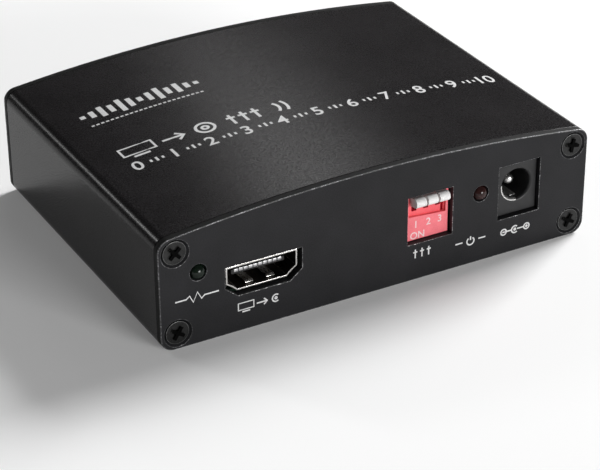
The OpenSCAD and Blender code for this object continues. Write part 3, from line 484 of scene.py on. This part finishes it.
def paintFaces(piece, slotIndex, wanted):
    editPiece(piece, "FACE")
    cage = bmesh.from_edit_mesh(piece.data)
    for face in cage.faces:
        face.select_set(wanted(face))
    bmesh.update_edit_mesh(piece.data)
    paintSelected(piece, slotIndex)


def boxShape(name, low, high):
    clearSelection()
    middle = [(a + b) / 2 for a, b in zip(low, high)]
    bpy.ops.mesh.primitive_cube_add(size=1, location=middle)
    piece = bpy.context.view_layer.objects.active
    piece.name = name
    piece.scale = [b - a for a, b in zip(low, high)]
    placeInMesh(piece)
    return piece


def cutAway(piece, cutter, look="recessPaintedShade"):
    # the faces of the cut keep the cutter's finish
    if not cutter.data.materials:
        giveLooks(cutter, [look])
    applyModifier(piece, "BOOLEAN", {
        "operation": "DIFFERENCE",
        "object": cutter,
        "solver": "EXACT",
        "material_mode": "TRANSFER",
    })
    bpy.data.objects.remove(cutter)


def joinPieces(made, pieceName):
    pick(*made)
    bpy.ops.object.join()
    made[0].name = pieceName
    return made[0]


def spreadCopies(first, shifts, pieceName):
    # copies of one shape side by side, joined into one piece
    made = []
    for shift in shifts:
        piece = copyPiece(first, pieceName)
        piece.location.x = shift
        placeInMesh(piece)
        made.append(piece)
    bpy.data.objects.remove(first)
    return joinPieces(made, pieceName)


# case: extruded shell and the two end plates

shellValues = {"rimBevel": 0.2 * mm, "smoothDegrees": 30}
plateValues = {
    "outerBevel": 0.2 * mm,
    "cutBevel": 0.1 * mm,
    "backBevel": 0.12 * mm,
    "cutOuts": 3,  # the widest ones, with edges painted brighter than the screw seats and small holes, a painted highlight
    "rimDegrees": 15,
    "looks": ("plate", "wornEdge", "plateRim", "cutEdgeWearAndHighlight"),
}


def makeShell():
    piece = copyNode("shell", "caseShell")
    low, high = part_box("shell")
    for level in (low.y, high.y):
        bevelLoops(piece, level, outline, shellValues["rimBevel"])
    finishPiece(piece, "root", ["shell"], ["shell"], shellValues["smoothDegrees"])


def makePlate(nodeName, pieceName, side):
    size = plateValues
    worn, rim, bright = 1, 2, 3  # places among the plate's looks
    piece = copyNode(nodeName, pieceName)
    giveLooks(piece, size["looks"])
    low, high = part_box(nodeName)
    outer, inner = (low.y, high.y) if side < 0 else (high.y, low.y)
    # the outline comes last, because it is no longer the widest sharp loop once it is bevelled
    bevelLoops(piece, outer, slice(1 + size["cutOuts"], None), size["cutBevel"], edgeSlot=worn)
    # the widest cut-outs' edges get the worn finish with a painted highlight
    bevelLoops(piece, outer, slice(1, 1 + size["cutOuts"]), size["cutBevel"], edgeSlot=bright)
    bevelLoops(piece, outer, outline, size["outerBevel"], edgeSlot=worn)
    bevelLoops(piece, inner, outline, size["backBevel"], segments=1, edgeSlot=rim)
    paintRim(piece, high.x, rim)
    finishPiece(piece, "root", size["looks"], [nodeName])


def paintRim(piece, reach, slotIndex):
    # the plate's narrow edge all the way round, found from its flat stretch on the right
    selectLevel(piece, 0, reach)
    bpy.ops.mesh.faces_select_linked_flat(sharpness=math.radians(plateValues["rimDegrees"]))
    paintSelected(piece, slotIndex)


# screws: one is modelled, and its copies are turned and set into the plates

screwValues = {
    "sides": 48,
    "headRadius": 2.36 * mm,
    "shankRadius": 1.45 * mm,
    "length": 8.6 * mm,
    "sink": 0.24 * mm,
    "rim": 0.18 * mm,
    "inset": 2.7 * mm,  # from the corner of the node's box to the middle of a screw
    "bevel": 0.13 * mm,
    "crossSpan": 2.9 * mm,
    "crossWidth": 0.66 * mm,
    "crossDepth": 1.1 * mm,
    "crossTaper": 0.62,
    "overrun": 0.36 * mm,  # of the recess cutter, in front of the head
    "pitSides": 24,
    "pitRadius": 0.78 * mm,
    "pitLength": 1.43 * mm,
    "pitMiddle": 0.66 * mm,
    "turns": (46, 33, 12, 27),
    "looks": ("screw", "screwEdge", "recessPaintedShade", "recessEndHighlight"),
}


def crossArm(size):
    # one blade of the driver recess, narrower at its bottom
    half = size["crossSpan"] / 2
    wide = size["crossWidth"] / 2
    arm = boxShape("crossArm", (-half, -size["overrun"], -wide), (half, size["crossDepth"], wide))
    selectLevel(arm, 1, size["crossDepth"])
    bpy.ops.transform.resize(value=(size["crossTaper"], 1, size["crossTaper"]))
    bpy.ops.object.mode_set(mode="OBJECT")
    # the blade's sides are given painted shade and its ends a painted highlight
    giveLooks(arm, ("recessPaintedShade", "recessEndHighlight"))
    # the blade's ends, square to it, get the painted highlight
    paintFaces(arm, 1, lambda face: abs(face.normal.x) > 0.7)
    return arm


def screwShape():
    # drawn with its head at Y = 0 facing -Y
    size = screwValues
    clearSelection()
    bpy.ops.mesh.primitive_cylinder_add(vertices=size["sides"], radius=size["headRadius"],
        depth=size["rim"], location=(0, size["rim"] / 2, 0), rotation=(math.radians(90), 0, 0))
    piece = bpy.context.view_layer.objects.active
    placeInMesh(piece)
    cone = size["headRadius"] - size["shankRadius"]
    selectLevel(piece, 1, size["rim"])
    bpy.ops.mesh.extrude_region_move(TRANSFORM_OT_translate={"value": (0, cone, 0)})
    share = size["shankRadius"] / size["headRadius"]
    bpy.ops.transform.resize(value=(share, 1, share))
    bpy.ops.mesh.extrude_region_move(
        TRANSFORM_OT_translate={"value": (0, size["length"] - cone - size["rim"], 0)})
    bpy.ops.object.mode_set(mode="OBJECT")
    giveLooks(piece, size["looks"])
    roundEdges(piece, size["bevel"], angle=40, edgeSlot=1)
    arm = crossArm(size)
    upright = copyPiece(arm, "upright")
    upright.rotation_euler = (0, math.radians(90), 0)
    placeInMesh(upright)
    cutAway(piece, arm)
    cutAway(piece, upright)
    clearSelection()
    bpy.ops.mesh.primitive_cone_add(vertices=size["pitSides"], radius1=size["pitRadius"], radius2=0,
        depth=size["pitLength"], location=(0, size["pitMiddle"], 0), rotation=(math.radians(-90), 0, 0))
    cutAway(piece, bpy.context.view_layer.objects.active)
    return piece


def makeScrews(screw, nodeName, pieceName, side):
    low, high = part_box(nodeName)
    inset, sink = screwValues["inset"], screwValues["sink"]
    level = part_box("front_plate")[0].y + sink if side < 0 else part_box("rear_plate")[1].y - sink
    spots = [(x, z) for x in (low.x + inset, high.x - inset) for z in (high.z - inset, low.z + inset)]
    made = []
    for (x, z), turn in zip(spots, screwValues["turns"]):
        piece = copyPiece(screw, pieceName)
        piece.rotation_euler = (0, math.radians(turn), 0)
        placeInMesh(piece)
        piece.rotation_euler = (0, 0, 0 if side < 0 else math.radians(180))
        piece.location = (x, level, z)
        placeInMesh(piece)
        made.append(piece)
    piece = joinPieces(made, pieceName)
    finishPiece(piece, "root", screwValues["looks"], [nodeName])


makeCamera()
makeLamps()
makeSurround()
makeShell()
makePlate("front_plate", "frontPlate", -1)
makePlate("rear_plate", "rearPlate", 1)
screw = screwShape()
makeScrews(screw, "front_screws", "frontScrews", -1)
makeScrews(screw, "rear_screws", "rearScrews", 1)
bpy.data.objects.remove(screw)
print("case and screws done")


# lamps, power socket and small socket pieces: the CAD shape with softened edges

softened = {
    # node: piece, slot, finish, edge width in mm, least angle
    "video_in_tongue": ("videoInTongue", "tongue_plastic", "tongue", 0.06, 35),
    "video_out_tongue": ("videoOutTongue", "tongue_plastic", "tongue", 0.06, 35),
    "status_lamp": ("statusLamp", "lamp_green", "greenLamp", 0.08, 40),
    "power_lamp": ("powerLamp", "lamp_red", "redLamp", 0.08, 40),
    "power_jack_body": ("powerSocketBody", "socket_plastic", "socket", 0.14, 40),
    "power_jack_pin": ("powerSocketPin", "socket_nickel", "nickel", 0.05, 40),
    "power_jack_spring": ("powerSocketLip", "socket_nickel", "nickel", 0.05, 40),
    # the contact deep in its hole takes the darker steel, painted shade
    "phono_contact": ("phonoContact", "contact_gold", "steelShade", 0.04, 40),
    "phono_block": ("phonoBlock", "socket_plastic", "socket", 0.2, 40),
}

for nodeName, (pieceName, slot, look, width, angle) in softened.items():
    piece = copyNode(nodeName, pieceName)
    roundEdges(piece, width * mm, angle)
    finishPiece(piece, "root", [look], [nodeName])
print("lamps and power socket done")


# rear sockets: phono with a rounded lip and a funnel, headphone ring, optical mouth with its flap

rearValues = {
    "phonoChamfer": 0.3 * mm,
    "phonoRound": 0.15 * mm,
    "phonoSegments": 4,
    "phonoEdge": 0.07 * mm,
    "insulatorSet": 1.2 * mm,  # behind the mouth of the barrel
    "funnel": 1.0 * mm,
    "funnelSegments": 6,
    "ringRadius": 2.75 * mm,
    "ringSlack": 0.02 * mm,
    "ringShrink": 0.83,
    "ringDepth": 2.3 * mm,  # from the front of the ring back to the block behind the plate
    "flapFace": 2.6 * mm,  # behind the outside of the plate
    "flapForward": 0.9 * mm,
    "mouthHalf": 4.0 * mm,
    "edge": 0.1 * mm,
}


def makePhono():
    size = rearValues
    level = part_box("phono_barrel")[1].y
    barrel = copyNode("phono_barrel", "phonoBarrel")
    for depth in (0, size["phonoChamfer"]):
        bevelLoops(barrel, level - depth, slice(0, 2), size["phonoRound"], size["phonoSegments"])
    roundEdges(barrel, size["phonoEdge"], angle=50)
    finishPiece(barrel, "root", ["nickel"], ["phono_barrel"])
    insulator = copyNode("phono_insulator", "phonoInsulator")
    bore = slice(1, 2)
    bevelLoops(insulator, level - size["insulatorSet"], bore, size["funnel"], size["funnelSegments"])
    finishPiece(insulator, "root", ["socket"], ["phono_insulator"])


def makeHeadphoneSocket():
    size = rearValues
    low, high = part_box("headphone_jack_body")
    piece = copyNode("headphone_jack_body", "headphoneSocketBody")
    ring = [corner.co for corner in piece.data.vertices if corner.co.y > high.y - snug]
    across = (low.x + high.x) / 2
    up = (min(spot.z for spot in ring) + max(spot.z for spot in ring)) / 2
    editPiece(piece, "VERT")
    cage = bmesh.from_edit_mesh(piece.data)
    for corner in cage.verts:
        apart = math.hypot(corner.co.x - across, corner.co.z - up)
        outside = abs(apart - size["ringRadius"]) < size["ringSlack"]
        corner.select_set(outside and corner.co.y > high.y - size["ringDepth"])
    bmesh.update_edit_mesh(piece.data)
    bpy.ops.transform.resize(value=(size["ringShrink"], 1, size["ringShrink"]),
        center_override=(across, high.y, up))
    bpy.ops.object.mode_set(mode="OBJECT")
    roundEdges(piece, size["edge"], angle=40)
    finishPiece(piece, "root", ["socket"], ["headphone_jack_body"])


def makeOpticalSocket():
    size = rearValues
    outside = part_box("rear_plate")[1].y
    low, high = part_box("optical_housing")
    middle = (low.x + high.x) / 2
    housing = copyNode("optical_housing", "opticalHousing")
    looks = ["socket", "mouthWallPaintedLight"]
    giveLooks(housing, looks)

    def linesMouth(face):
        spot = face.calc_center_median()
        inward = (middle - spot.x) * face.normal.x > 0 or face.normal.z > 0.5
        return abs(face.normal.y) < 0.5 and inward and abs(spot.x - middle) < size["mouthHalf"]

    # the walls lining the mouth take the lighter plastic, painted light
    paintFaces(housing, 1, linesMouth)
    roundEdges(housing, size["edge"], angle=40)
    finishPiece(housing, "root", looks, ["optical_housing"])
    flap = copyNode("optical_shutter", "opticalShutter")
    selectLevel(flap, 1, outside - size["flapFace"])
    bpy.ops.transform.translate(value=(0, size["flapForward"], 0))
    bpy.ops.object.mode_set(mode="OBJECT")
    roundEdges(flap, size["edge"], angle=40)
    finishPiece(flap, "optical_shutter", ["socket"], ["optical_shutter"])


makePhono()
makeHeadphoneSocket()
makeOpticalSocket()
print("rear sockets done")


# video sockets: sheet shell with drawn-in lower corners, floor springs, noses of the contacts

videoValues = {
    "slantMiddle": 4.4 * mm,  # below the top of the shell
    "slantLift": 0.17 * mm,
    "legLimit": 6.9 * mm,  # corners further out than this stay
    "rimBevel": 0.09 * mm,
    "floorDrop": 4.95 * mm,  # top of the shell down to the inside of its floor
    "springs": (-2.2 * mm, 2.2 * mm),
    "springWidth": 1.7 * mm,
    "springFrom": 1.3 * mm,
    "springTo": 5.6 * mm,
    "springRise": 0.42 * mm,
    "springHook": 0.294 * mm,
    "springSheet": 0.16 * mm,
    "springRound": 0.064 * mm,
    "tips": 10,
    "tipPitch": 1.0 * mm,
    "tipWidth": 0.84 * mm,
    "tipHeight": 0.6 * mm,
    "tipProud": 0.05 * mm,
    "tipRound": 0.07 * mm,
    "tongueSet": 1.6 * mm,  # front of the shell back to the front of the tongue
    "tongueTop": 1.75 * mm,  # top of the shell down to the top of the tongue
}


def makeVideoShell(nodeName, pieceName):
    size = videoValues
    low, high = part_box(nodeName)
    middle = Vector(((low.x + high.x) / 2, 0, high.z - size["floorDrop"] / 2))
    piece = copyNode(nodeName, pieceName)
    editPiece(piece, "VERT")
    bpy.ops.mesh.select_all(action="SELECT")
    bpy.ops.mesh.bisect(plane_co=(0, 0, high.z - size["slantMiddle"]), plane_no=(0, 0, 1))
    cage = bmesh.from_edit_mesh(piece.data)
    for corner in cage.verts:
        if corner.select and abs(corner.co.x - middle.x) > size["legLimit"]:
            corner.select_set(False)
    cage.select_flush_mode()
    bmesh.update_edit_mesh(piece.data)
    bpy.ops.transform.translate(value=(0, 0, size["slantLift"]))
    bpy.ops.object.mode_set(mode="OBJECT")
    looks = ["steel", "steelShade"]
    giveLooks(piece, looks)

    def looksIn(face):
        out = face.calc_center_median() - middle
        out.y = 0
        return abs(face.normal.y) < 0.5 and face.normal.dot(out) < 0

    # the inner faces of the sheet take the darker steel, painted shade inside the socket
    paintFaces(piece, 1, looksIn)
    roundEdges(piece, size["rimBevel"], angle=25, edgeSlot=0)
    finishPiece(piece, "root", looks, [nodeName])


def makeSprings(nodeName, pieceName, side):
    # two bent tabs on the floor of the shell, their bends towards the mouth
    size = videoValues
    low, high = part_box(nodeName)
    middle = (low.x + high.x) / 2
    front = low.y if side < 0 else high.y
    floor = high.z - size["floorDrop"]
    half = size["springWidth"] / 2
    bend = front - side * size["springFrom"]
    root = front - side * size["springTo"]
    tab = boxShape("tab", (middle - half, min(bend, root), floor),
        (middle + half, max(bend, root), floor + size["springSheet"]))
    selectLevel(tab, 1, bend)
    bpy.ops.transform.translate(value=(0, 0, size["springRise"]))
    bpy.ops.mesh.extrude_region_move(
        TRANSFORM_OT_translate={"value": (0, side * size["springRise"], -size["springHook"])})
    bpy.ops.object.mode_set(mode="OBJECT")
    roundEdges(tab, size["springRound"], angle=20)
    piece = spreadCopies(tab, size["springs"], pieceName)
    finishPiece(piece, "root", ["steel"])


def makeTips(nodeName, pieceName, side):
    # the bent-over noses of the upper contacts across the front of the tongue
    size = videoValues
    low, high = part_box(nodeName)
    middle = (low.x + high.x) / 2
    half = size["tipWidth"] / 2
    front = (low.y if side < 0 else high.y) - side * size["tongueSet"]
    top = high.z - size["tongueTop"]
    near, far = front + side * size["tipProud"], front - side * size["tipHeight"]
    tip = boxShape("tip", (middle - half, min(near, far), top - size["tipHeight"]),
        (middle + half, max(near, far), top + size["tipProud"]))
    roundEdges(tip, size["tipRound"], angle=40)
    shifts = [(index - (size["tips"] - 1) / 2) * size["tipPitch"] for index in range(size["tips"])]
    piece = spreadCopies(tip, shifts, pieceName)
    finishPiece(piece, "root", ["tin"])


for nodeName, pieceName, side in (("video_in_shell", "videoIn", -1), ("video_out_shell", "videoOut", 1)):
    makeVideoShell(nodeName, pieceName + "Shell")
    makeSprings(nodeName, pieceName + "Springs", side)
    makeTips(nodeName, pieceName + "Tips", side)
print("video sockets done")


# switch: body with a window, three blade slots and a slit, and its keys

switchValues = {
    "cheek": 0.55 * mm,
    "windowDepth": 0.6 * mm,
    "sillLeft": 13.1 * mm,
    "sillRight": 12.45 * mm,
    "overrun": 0.5 * mm,  # of the cutters, in front of the body
    "pitch": 2.6 * mm,
    "slotHalf": 0.57 * mm,
    "slotFoot": 13.95 * mm,
    "slotTop": 17.4 * mm,
    "slotBack": -29.58 * mm,
    "slit": (13.85 * mm, 14.42 * mm),
    "slitFoot": 12.52 * mm,
    "slitTop": 14.9 * mm,
    "slitDepth": 0.7 * mm,
    "bevel": 0.1 * mm,
    "keyWiden": 1.12,
    "keyEdge": 0.12 * mm,
    "keys": {"dip_key_1": "switchKeyOne", "dip_key_2": "switchKeyTwo", "dip_key_3": "switchKeyThree"},
}


def makeSwitchBody():
    size = switchValues
    low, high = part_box("dip_body")
    middle = (low.x + high.x) / 2
    piece = boxShape("switchBody", low, high)
    giveLooks(piece, ["switchRed"])
    roundEdges(piece, size["bevel"], angle=40)
    front = low.y - size["overrun"]
    windowBack = low.y + size["windowDepth"]
    window = boxShape("window", (low.x + size["cheek"], front, size["sillLeft"]),
        (high.x - size["cheek"], windowBack, high.z + size["overrun"]))
    editPiece(window, "VERT")
    cage = bmesh.from_edit_mesh(window.data)
    for corner in cage.verts:
        corner.select_set(corner.co.x > middle and corner.co.z < size["sillLeft"] + size["bevel"])
    bmesh.update_edit_mesh(window.data)
    bpy.ops.transform.translate(value=(0, 0, size["sillRight"] - size["sillLeft"]))
    bpy.ops.object.mode_set(mode="OBJECT")
    cutAway(piece, window, "switchWindow")
    # the blade slots and the slit are lined with the darker red, painted shade
    for step in (-1, 0, 1):
        centre = middle + step * size["pitch"]
        slot = boxShape("slot", (centre - size["slotHalf"], front, size["slotFoot"]),
            (centre + size["slotHalf"], size["slotBack"], size["slotTop"]))
        cutAway(piece, slot, "switchSlotPaintedShade")
    slit = boxShape("slit", (size["slit"][0], front, size["slitFoot"]),
        (size["slit"][1], windowBack + size["slitDepth"], size["slitTop"]))
    cutAway(piece, slit, "switchSlotPaintedShade")
    finishPiece(piece, "root", ["switchRed", "switchWindow", "switchSlotPaintedShade"], ["dip_body"])


def makeKeys():
    for nodeName, pieceName in switchValues["keys"].items():
        low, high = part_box(nodeName)
        piece = copyNode(nodeName, pieceName)
        editPiece(piece, "VERT")
        bpy.ops.mesh.select_all(action="SELECT")
        bpy.ops.transform.resize(value=(switchValues["keyWiden"], 1, 1), center_override=(low + high) / 2)
        bpy.ops.object.mode_set(mode="OBJECT")
        roundEdges(piece, switchValues["keyEdge"])
        finishPiece(piece, nodeName, ["keyWhite"], [nodeName])


makeSwitchBody()
makeKeys()
print("switch done")


# pieces that stay as the CAD has them, most of them inside the case

carried = {
    "main_board": "board",
    "video_in_contacts": "gold",
    "video_out_contacts": "gold",
    "dip_pivot_pin": "tin",
    "dip_legs": "tin",
    "lamp_leads": "tin",
    "headphone_jack_contacts": "gold",
    "optical_hinge_pin": "tin",
    "optical_spring": "tin",
    "optical_emitter": "chip",
    "optical_legs": "tin",
    "main_chip": "chip",
    "main_chip_leads": "tin",
    "heat_sink": "sink",
    "audio_chip": "chip",
    "audio_chip_leads": "tin",
    "memory_chip": "chip",
    "memory_chip_leads": "tin",
    "crystal": "crystal",
    "filter_capacitors": "can",
    "power_inductor": "ferrite",
    "voltage_regulator": "chip",
    "chip_resistors": "chip",
}

for nodeName, look in carried.items():
    for materialSlot in nodes[nodeName].material_slots:
        materialSlot.material = finishes[look]
print("carried pieces finished:", len(carried))


# white print: strokes and plain numerals, drawn flat and laid on the surfaces

inkValues = {"thickness": 0.03 * mm, "numeralWeight": 0.012}


def strokeShape(name, strokes, pen):
    # a flat line as wide as the pen along each list of points, closed where it ends at its start;
    # pen and points in millimetres
    width = pen * mm
    curve = bpy.data.curves.new(name, "CURVE")
    curve.dimensions = "3D"
    curve.bevel_depth = width / 2
    curve.bevel_resolution = 2
    curve.use_fill_caps = True
    for points in strokes:
        closed = points[0] == points[-1] and len(points) > 2
        kept = points[:-1] if closed else points
        spline = curve.splines.new("POLY")
        spline.points.add(len(kept) - 1)
        for spot, (across, up) in zip(spline.points, kept):
            spot.co = (across * mm, up * mm, 0, 1)
        spline.use_cyclic_u = closed
    shape = bpy.data.objects.new(name, curve)
    bpy.context.scene.collection.objects.link(shape)
    pick(shape)
    bpy.ops.object.convert(target="MESH")
    shape = bpy.context.view_layer.objects.active
    shape.scale = (1, 1, inkValues["thickness"] / width)
    placeInMesh(shape)
    return shape


def numerals(name, words, height, place):
    # height and place of the middle in millimetres
    clearSelection()
    bpy.ops.object.text_add(location=(0, 0, 0))
    shape = bpy.context.view_layer.objects.active
    shape.name = name
    shape.data.body = words
    shape.data.size = 1
    shape.data.offset = inkValues["numeralWeight"]
    shape.data.extrude = 0.5
    shape.data.align_x = "CENTER"
    pick(shape)
    bpy.ops.object.convert(target="MESH")
    shape = bpy.context.view_layer.objects.active
    low = min(corner.co.y for corner in shape.data.vertices)
    high = max(corner.co.y for corner in shape.data.vertices)
    size = height * mm / (high - low)
    shape.location = (place[0] * mm, (place[1] - height / 2) * mm - low * size, 0)
    shape.scale = (size, size, inkValues["thickness"])
    placeInMesh(shape)
    return shape


def circlePoints(centre, radius, fromDegrees=0, toDegrees=360, count=24):
    sweep = toDegrees - fromDegrees
    points = []
    for step in range(count + 1):
        turn = math.radians(fromDegrees + sweep * step / count)
        points.append((centre[0] + radius * math.cos(turn), centre[1] + radius * math.sin(turn)))
    if sweep == 360:
        points[-1] = points[0]
    return points


def boxPoints(low, high):
    return [low, (high[0], low[1]), high, (low[0], high[1]), low]


def shifted(strokes, across, up=0.0, size=1.0):
    return [[(across + size * a, up + size * b) for a, b in points] for points in strokes]


symbolShapes = {
    # each in millimetres round its own middle, about 1.9 high
    "pulse": [[(-4.4, 0), (-2.2, 0), (-1.5, 0.55), (-0.8, -0.95), (0.1, 0.95), (0.9, -0.6), (1.5, 0),
        (4.4, 0)]],
    "screen": [boxPoints((-1.6, -0.5), (1.6, 0.95)), [(-0.8, -0.95), (0.8, -0.95)]],
    "arrow": [[(-1.1, 0), (1.1, 0)], [(0.4, 0.65), (1.1, 0), (0.4, -0.65)]],
    "slider": [[(0, -0.95), (0, 0.95)], [(-0.45, 0.35), (0.45, 0.35)]],
    "power": [circlePoints((0, -0.1), 0.8, 125, 415, 20), [(0, 0.15), (0, 0.95)]],
    "dash": [[(-0.8, 0), (0.8, 0)]],
    "minus": [circlePoints((0, 0), 0.62), [(-0.3, 0), (0.3, 0)]],
    "plus": [circlePoints((0, 0), 0.62), [(-0.3, 0), (0.3, 0)], [(0, -0.3), (0, 0.3)]],
    "contact": [circlePoints((0, 0), 0.75, 50, 310, 18), circlePoints((0, 0), 0.2, 0, 360, 10)],
    "headphones": [circlePoints((0, -0.1), 1.05, 0, 180, 16), boxPoints((-1.3, -0.95), (-0.8, -0.1)),
        boxPoints((0.8, -0.95), (1.3, -0.1))],
    "rings": [circlePoints((0, 0), 0.9), circlePoints((0, 0), 0.3, 0, 360, 12)],
    "waves": [circlePoints((-1.2, 0), 1.3, -40, 40, 8), circlePoints((-1.2, 0), 2.1, -27, 27, 8)],
    "rays": [circlePoints((0, 0), 0.35, 0, 360, 12)] + [
        [(0.6 * math.cos(turn), 0.6 * math.sin(turn)), (0.95 * math.cos(turn), 0.95 * math.sin(turn))]
        for turn in [math.radians(45 * step) for step in range(8)]],
}

# each caption in millimetres: the place of its middle, then its symbols with their shifts across
frontCaptions = [
    ((-38.7, 9.85), [("pulse", 0)]),
    ((-25.85, 4.87), [("screen", -3.0), ("arrow", 0.3), ("contact", 3.2)]),
    ((8.88, 5.66), [("slider", -1.5), ("slider", 0), ("slider", 1.5)]),
    ((19.82, 5.09), [("dash", -2.6), ("power", 0), ("dash", 2.6)]),
    ((30.05, 4.81), [("minus", -2.6), ("dash", -1.45), ("contact", 0), ("dash", 1.35), ("plus", 2.7)]),
]
rearCaptions = [
    ((-4.56, 4.79), [("headphones", 0)]),
    ((11.75, 5.8), [("waves", -2.6), ("rings", 0), ("waves", 2.6)]),
    ((28.78, 5.77), [("arrow", -2.6), ("rays", 0), ("arrow", 2.6)]),
    ((-27.12, 5.29), [("contact", -4.2), ("arrow", -0.9), ("screen", 3.0)]),
]
captionValues = {"pen": 0.3, "mirrored": {("waves", -2.6)}}  # symbols, by shift, that face left


def captionStrokes(captions):
    strokes = []
    for (across, up), symbols in captions:
        for symbol, shift in symbols:
            points = symbolShapes[symbol]
            if (symbol, shift) in captionValues["mirrored"]:
                points = [[(-a, b) for a, b in line] for line in points]
            strokes += shifted(points, across + shift, up)
    return strokes


def layOnPlate(shape, level, side):
    # the drawing's right and up become the plate's own, seen from outside
    across = Vector((-side, 0, 0))
    turn = Matrix((across, (0, 0, 1), (0, side, 0))).transposed().to_4x4()
    shape.matrix_world = Matrix.Translation((0, level, 0)) @ turn
    placeInMesh(shape)


def makeCaptions(pieceName, captions, level, side):
    piece = strokeShape(pieceName, captionStrokes(captions), captionValues["pen"])
    layOnPlate(piece, level, side)
    finishPiece(piece, "root", ["ink"])


makeCaptions("frontCaptions", frontCaptions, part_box("front_plate")[0].y, -1)
makeCaptions("rearCaptions", rearCaptions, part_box("rear_plate")[1].y, 1)


switchPrint = {
    "height": 1.5,
    "places": {"1": (8.11, 11.3), "2": (10.91, 11.3), "3": (13.41, 11.3), "ON": (8.5, 8.95)},
}


def makeSwitchPrint():
    shapes = [numerals("switchPrint", words, switchPrint["height"], place)
        for words, place in switchPrint["places"].items()]
    piece = joinPieces(shapes, "switchPrint")
    layOnPlate(piece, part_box("dip_body")[0].y, -1)
    finishPiece(piece, "root", ["switchInk"])


makeSwitchPrint()


# print on the roof in millimetres: a waveform over a dashed rule, a row of icons, a scale from 0 to 10
roofPrint = {
    "measureFrom": 34,
    "waveform": {"left": -38.0, "right": -13.4, "middle": 14.7, "pen": 1.1,
        "heights": [1.2, 2.6, 4.2, 3.0, 5.2, 3.6, 1.8, 3.4, 5.0, 2.8, 4.0, 2.2, 1.2]},
    "rule": {"up": 10.4, "pen": 0.5, "dashes": 24, "dashShare": 0.62},
    "icons": {"up": -3.5, "pen": 0.62, "size": 2.1,
        "row": [("screen", -34.6), ("arrow", -27.2), ("rings", -20.4), ("slider", -14.6), ("slider", -12.0),
            ("slider", -9.4), ("waves", -4.6)]},
    "scale": {"up": -8.9, "height": 3.3, "left": -37.2, "right": 39.6, "steps": 10, "pen": 0.5,
        "ticks": {0.36: 0.84, 0.52: 1.5, 0.68: 0.84}},  # share of a step: height
}


def roofRadius():
    # the crown is one arc, measured at the shell's highest corner well out from the middle
    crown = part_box("shell")[1].z
    reach = roofPrint["measureFrom"] * mm
    outer = [corner.co for corner in nodes["shell"].data.vertices if abs(corner.co.x) > reach]
    spot = max(outer, key=lambda corner: corner.z)
    drop = crown - spot.z
    return (spot.x ** 2 + drop ** 2) / (2 * drop)


def waveformShape():
    spec = roofPrint["waveform"]
    step = (spec["right"] - spec["left"]) / (len(spec["heights"]) - 1)
    bars = []
    for index, tall in enumerate(spec["heights"]):
        across = spec["left"] + step * index
        bars.append([(across, spec["middle"] - tall / 2), (across, spec["middle"] + tall / 2)])
    return strokeShape("roofWaveform", bars, spec["pen"])


def ruleShape():
    spec = roofPrint["rule"]
    ends = roofPrint["waveform"]
    step = (ends["right"] - ends["left"]) / spec["dashes"]
    dashes = []
    for index in range(spec["dashes"]):
        left = ends["left"] + step * index
        dashes.append([(left, spec["up"]), (left + step * spec["dashShare"], spec["up"])])
    return strokeShape("roofRule", dashes, spec["pen"])


def iconShape():
    spec = roofPrint["icons"]
    strokes = []
    for symbol, across in spec["row"]:
        strokes += shifted(symbolShapes[symbol], across, spec["up"], spec["size"])
    return strokeShape("roofIcons", strokes, spec["pen"])


def scaleShapes():
    spec = roofPrint["scale"]
    gap = (spec["right"] - spec["left"]) / spec["steps"]
    shapes = []
    ticks = []
    for index in range(spec["steps"] + 1):
        across = spec["left"] + gap * index
        shapes.append(numerals("roofNumber", str(index), spec["height"], (across, spec["up"])))
        if index < spec["steps"]:
            for share, tall in spec["ticks"].items():
                spot = across + gap * share
                ticks.append([(spot, spec["up"] - tall / 2), (spot, spec["up"] + tall / 2)])
    return shapes + [strokeShape("roofTicks", ticks, spec["pen"])]


def makeRoofPrint():
    piece = joinPieces([waveformShape(), ruleShape(), iconShape(), *scaleShapes()], "roofPrint")
    bendToRoof(piece)
    finishPiece(piece, "root", ["ink"])


def bendToRoof(piece):
    radius = roofRadius()
    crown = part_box("shell")[1].z
    print("roof radius in mm:", round(radius / mm, 1))
    for corner in piece.data.vertices:
        corner.co.z += crown - radius + math.sqrt(radius ** 2 - corner.co.x ** 2)


makeRoofPrint()
print("print done")


# floor

def makeFloor():
    clearSelection()
    bpy.ops.mesh.primitive_plane_add(size=studio["floorSize"], location=(0, 0, 0))
    floor = bpy.context.view_layer.objects.active
    floor.name = "floor"
    floor.data.materials.append(paleFloor())


makeFloor()
print("scene done")
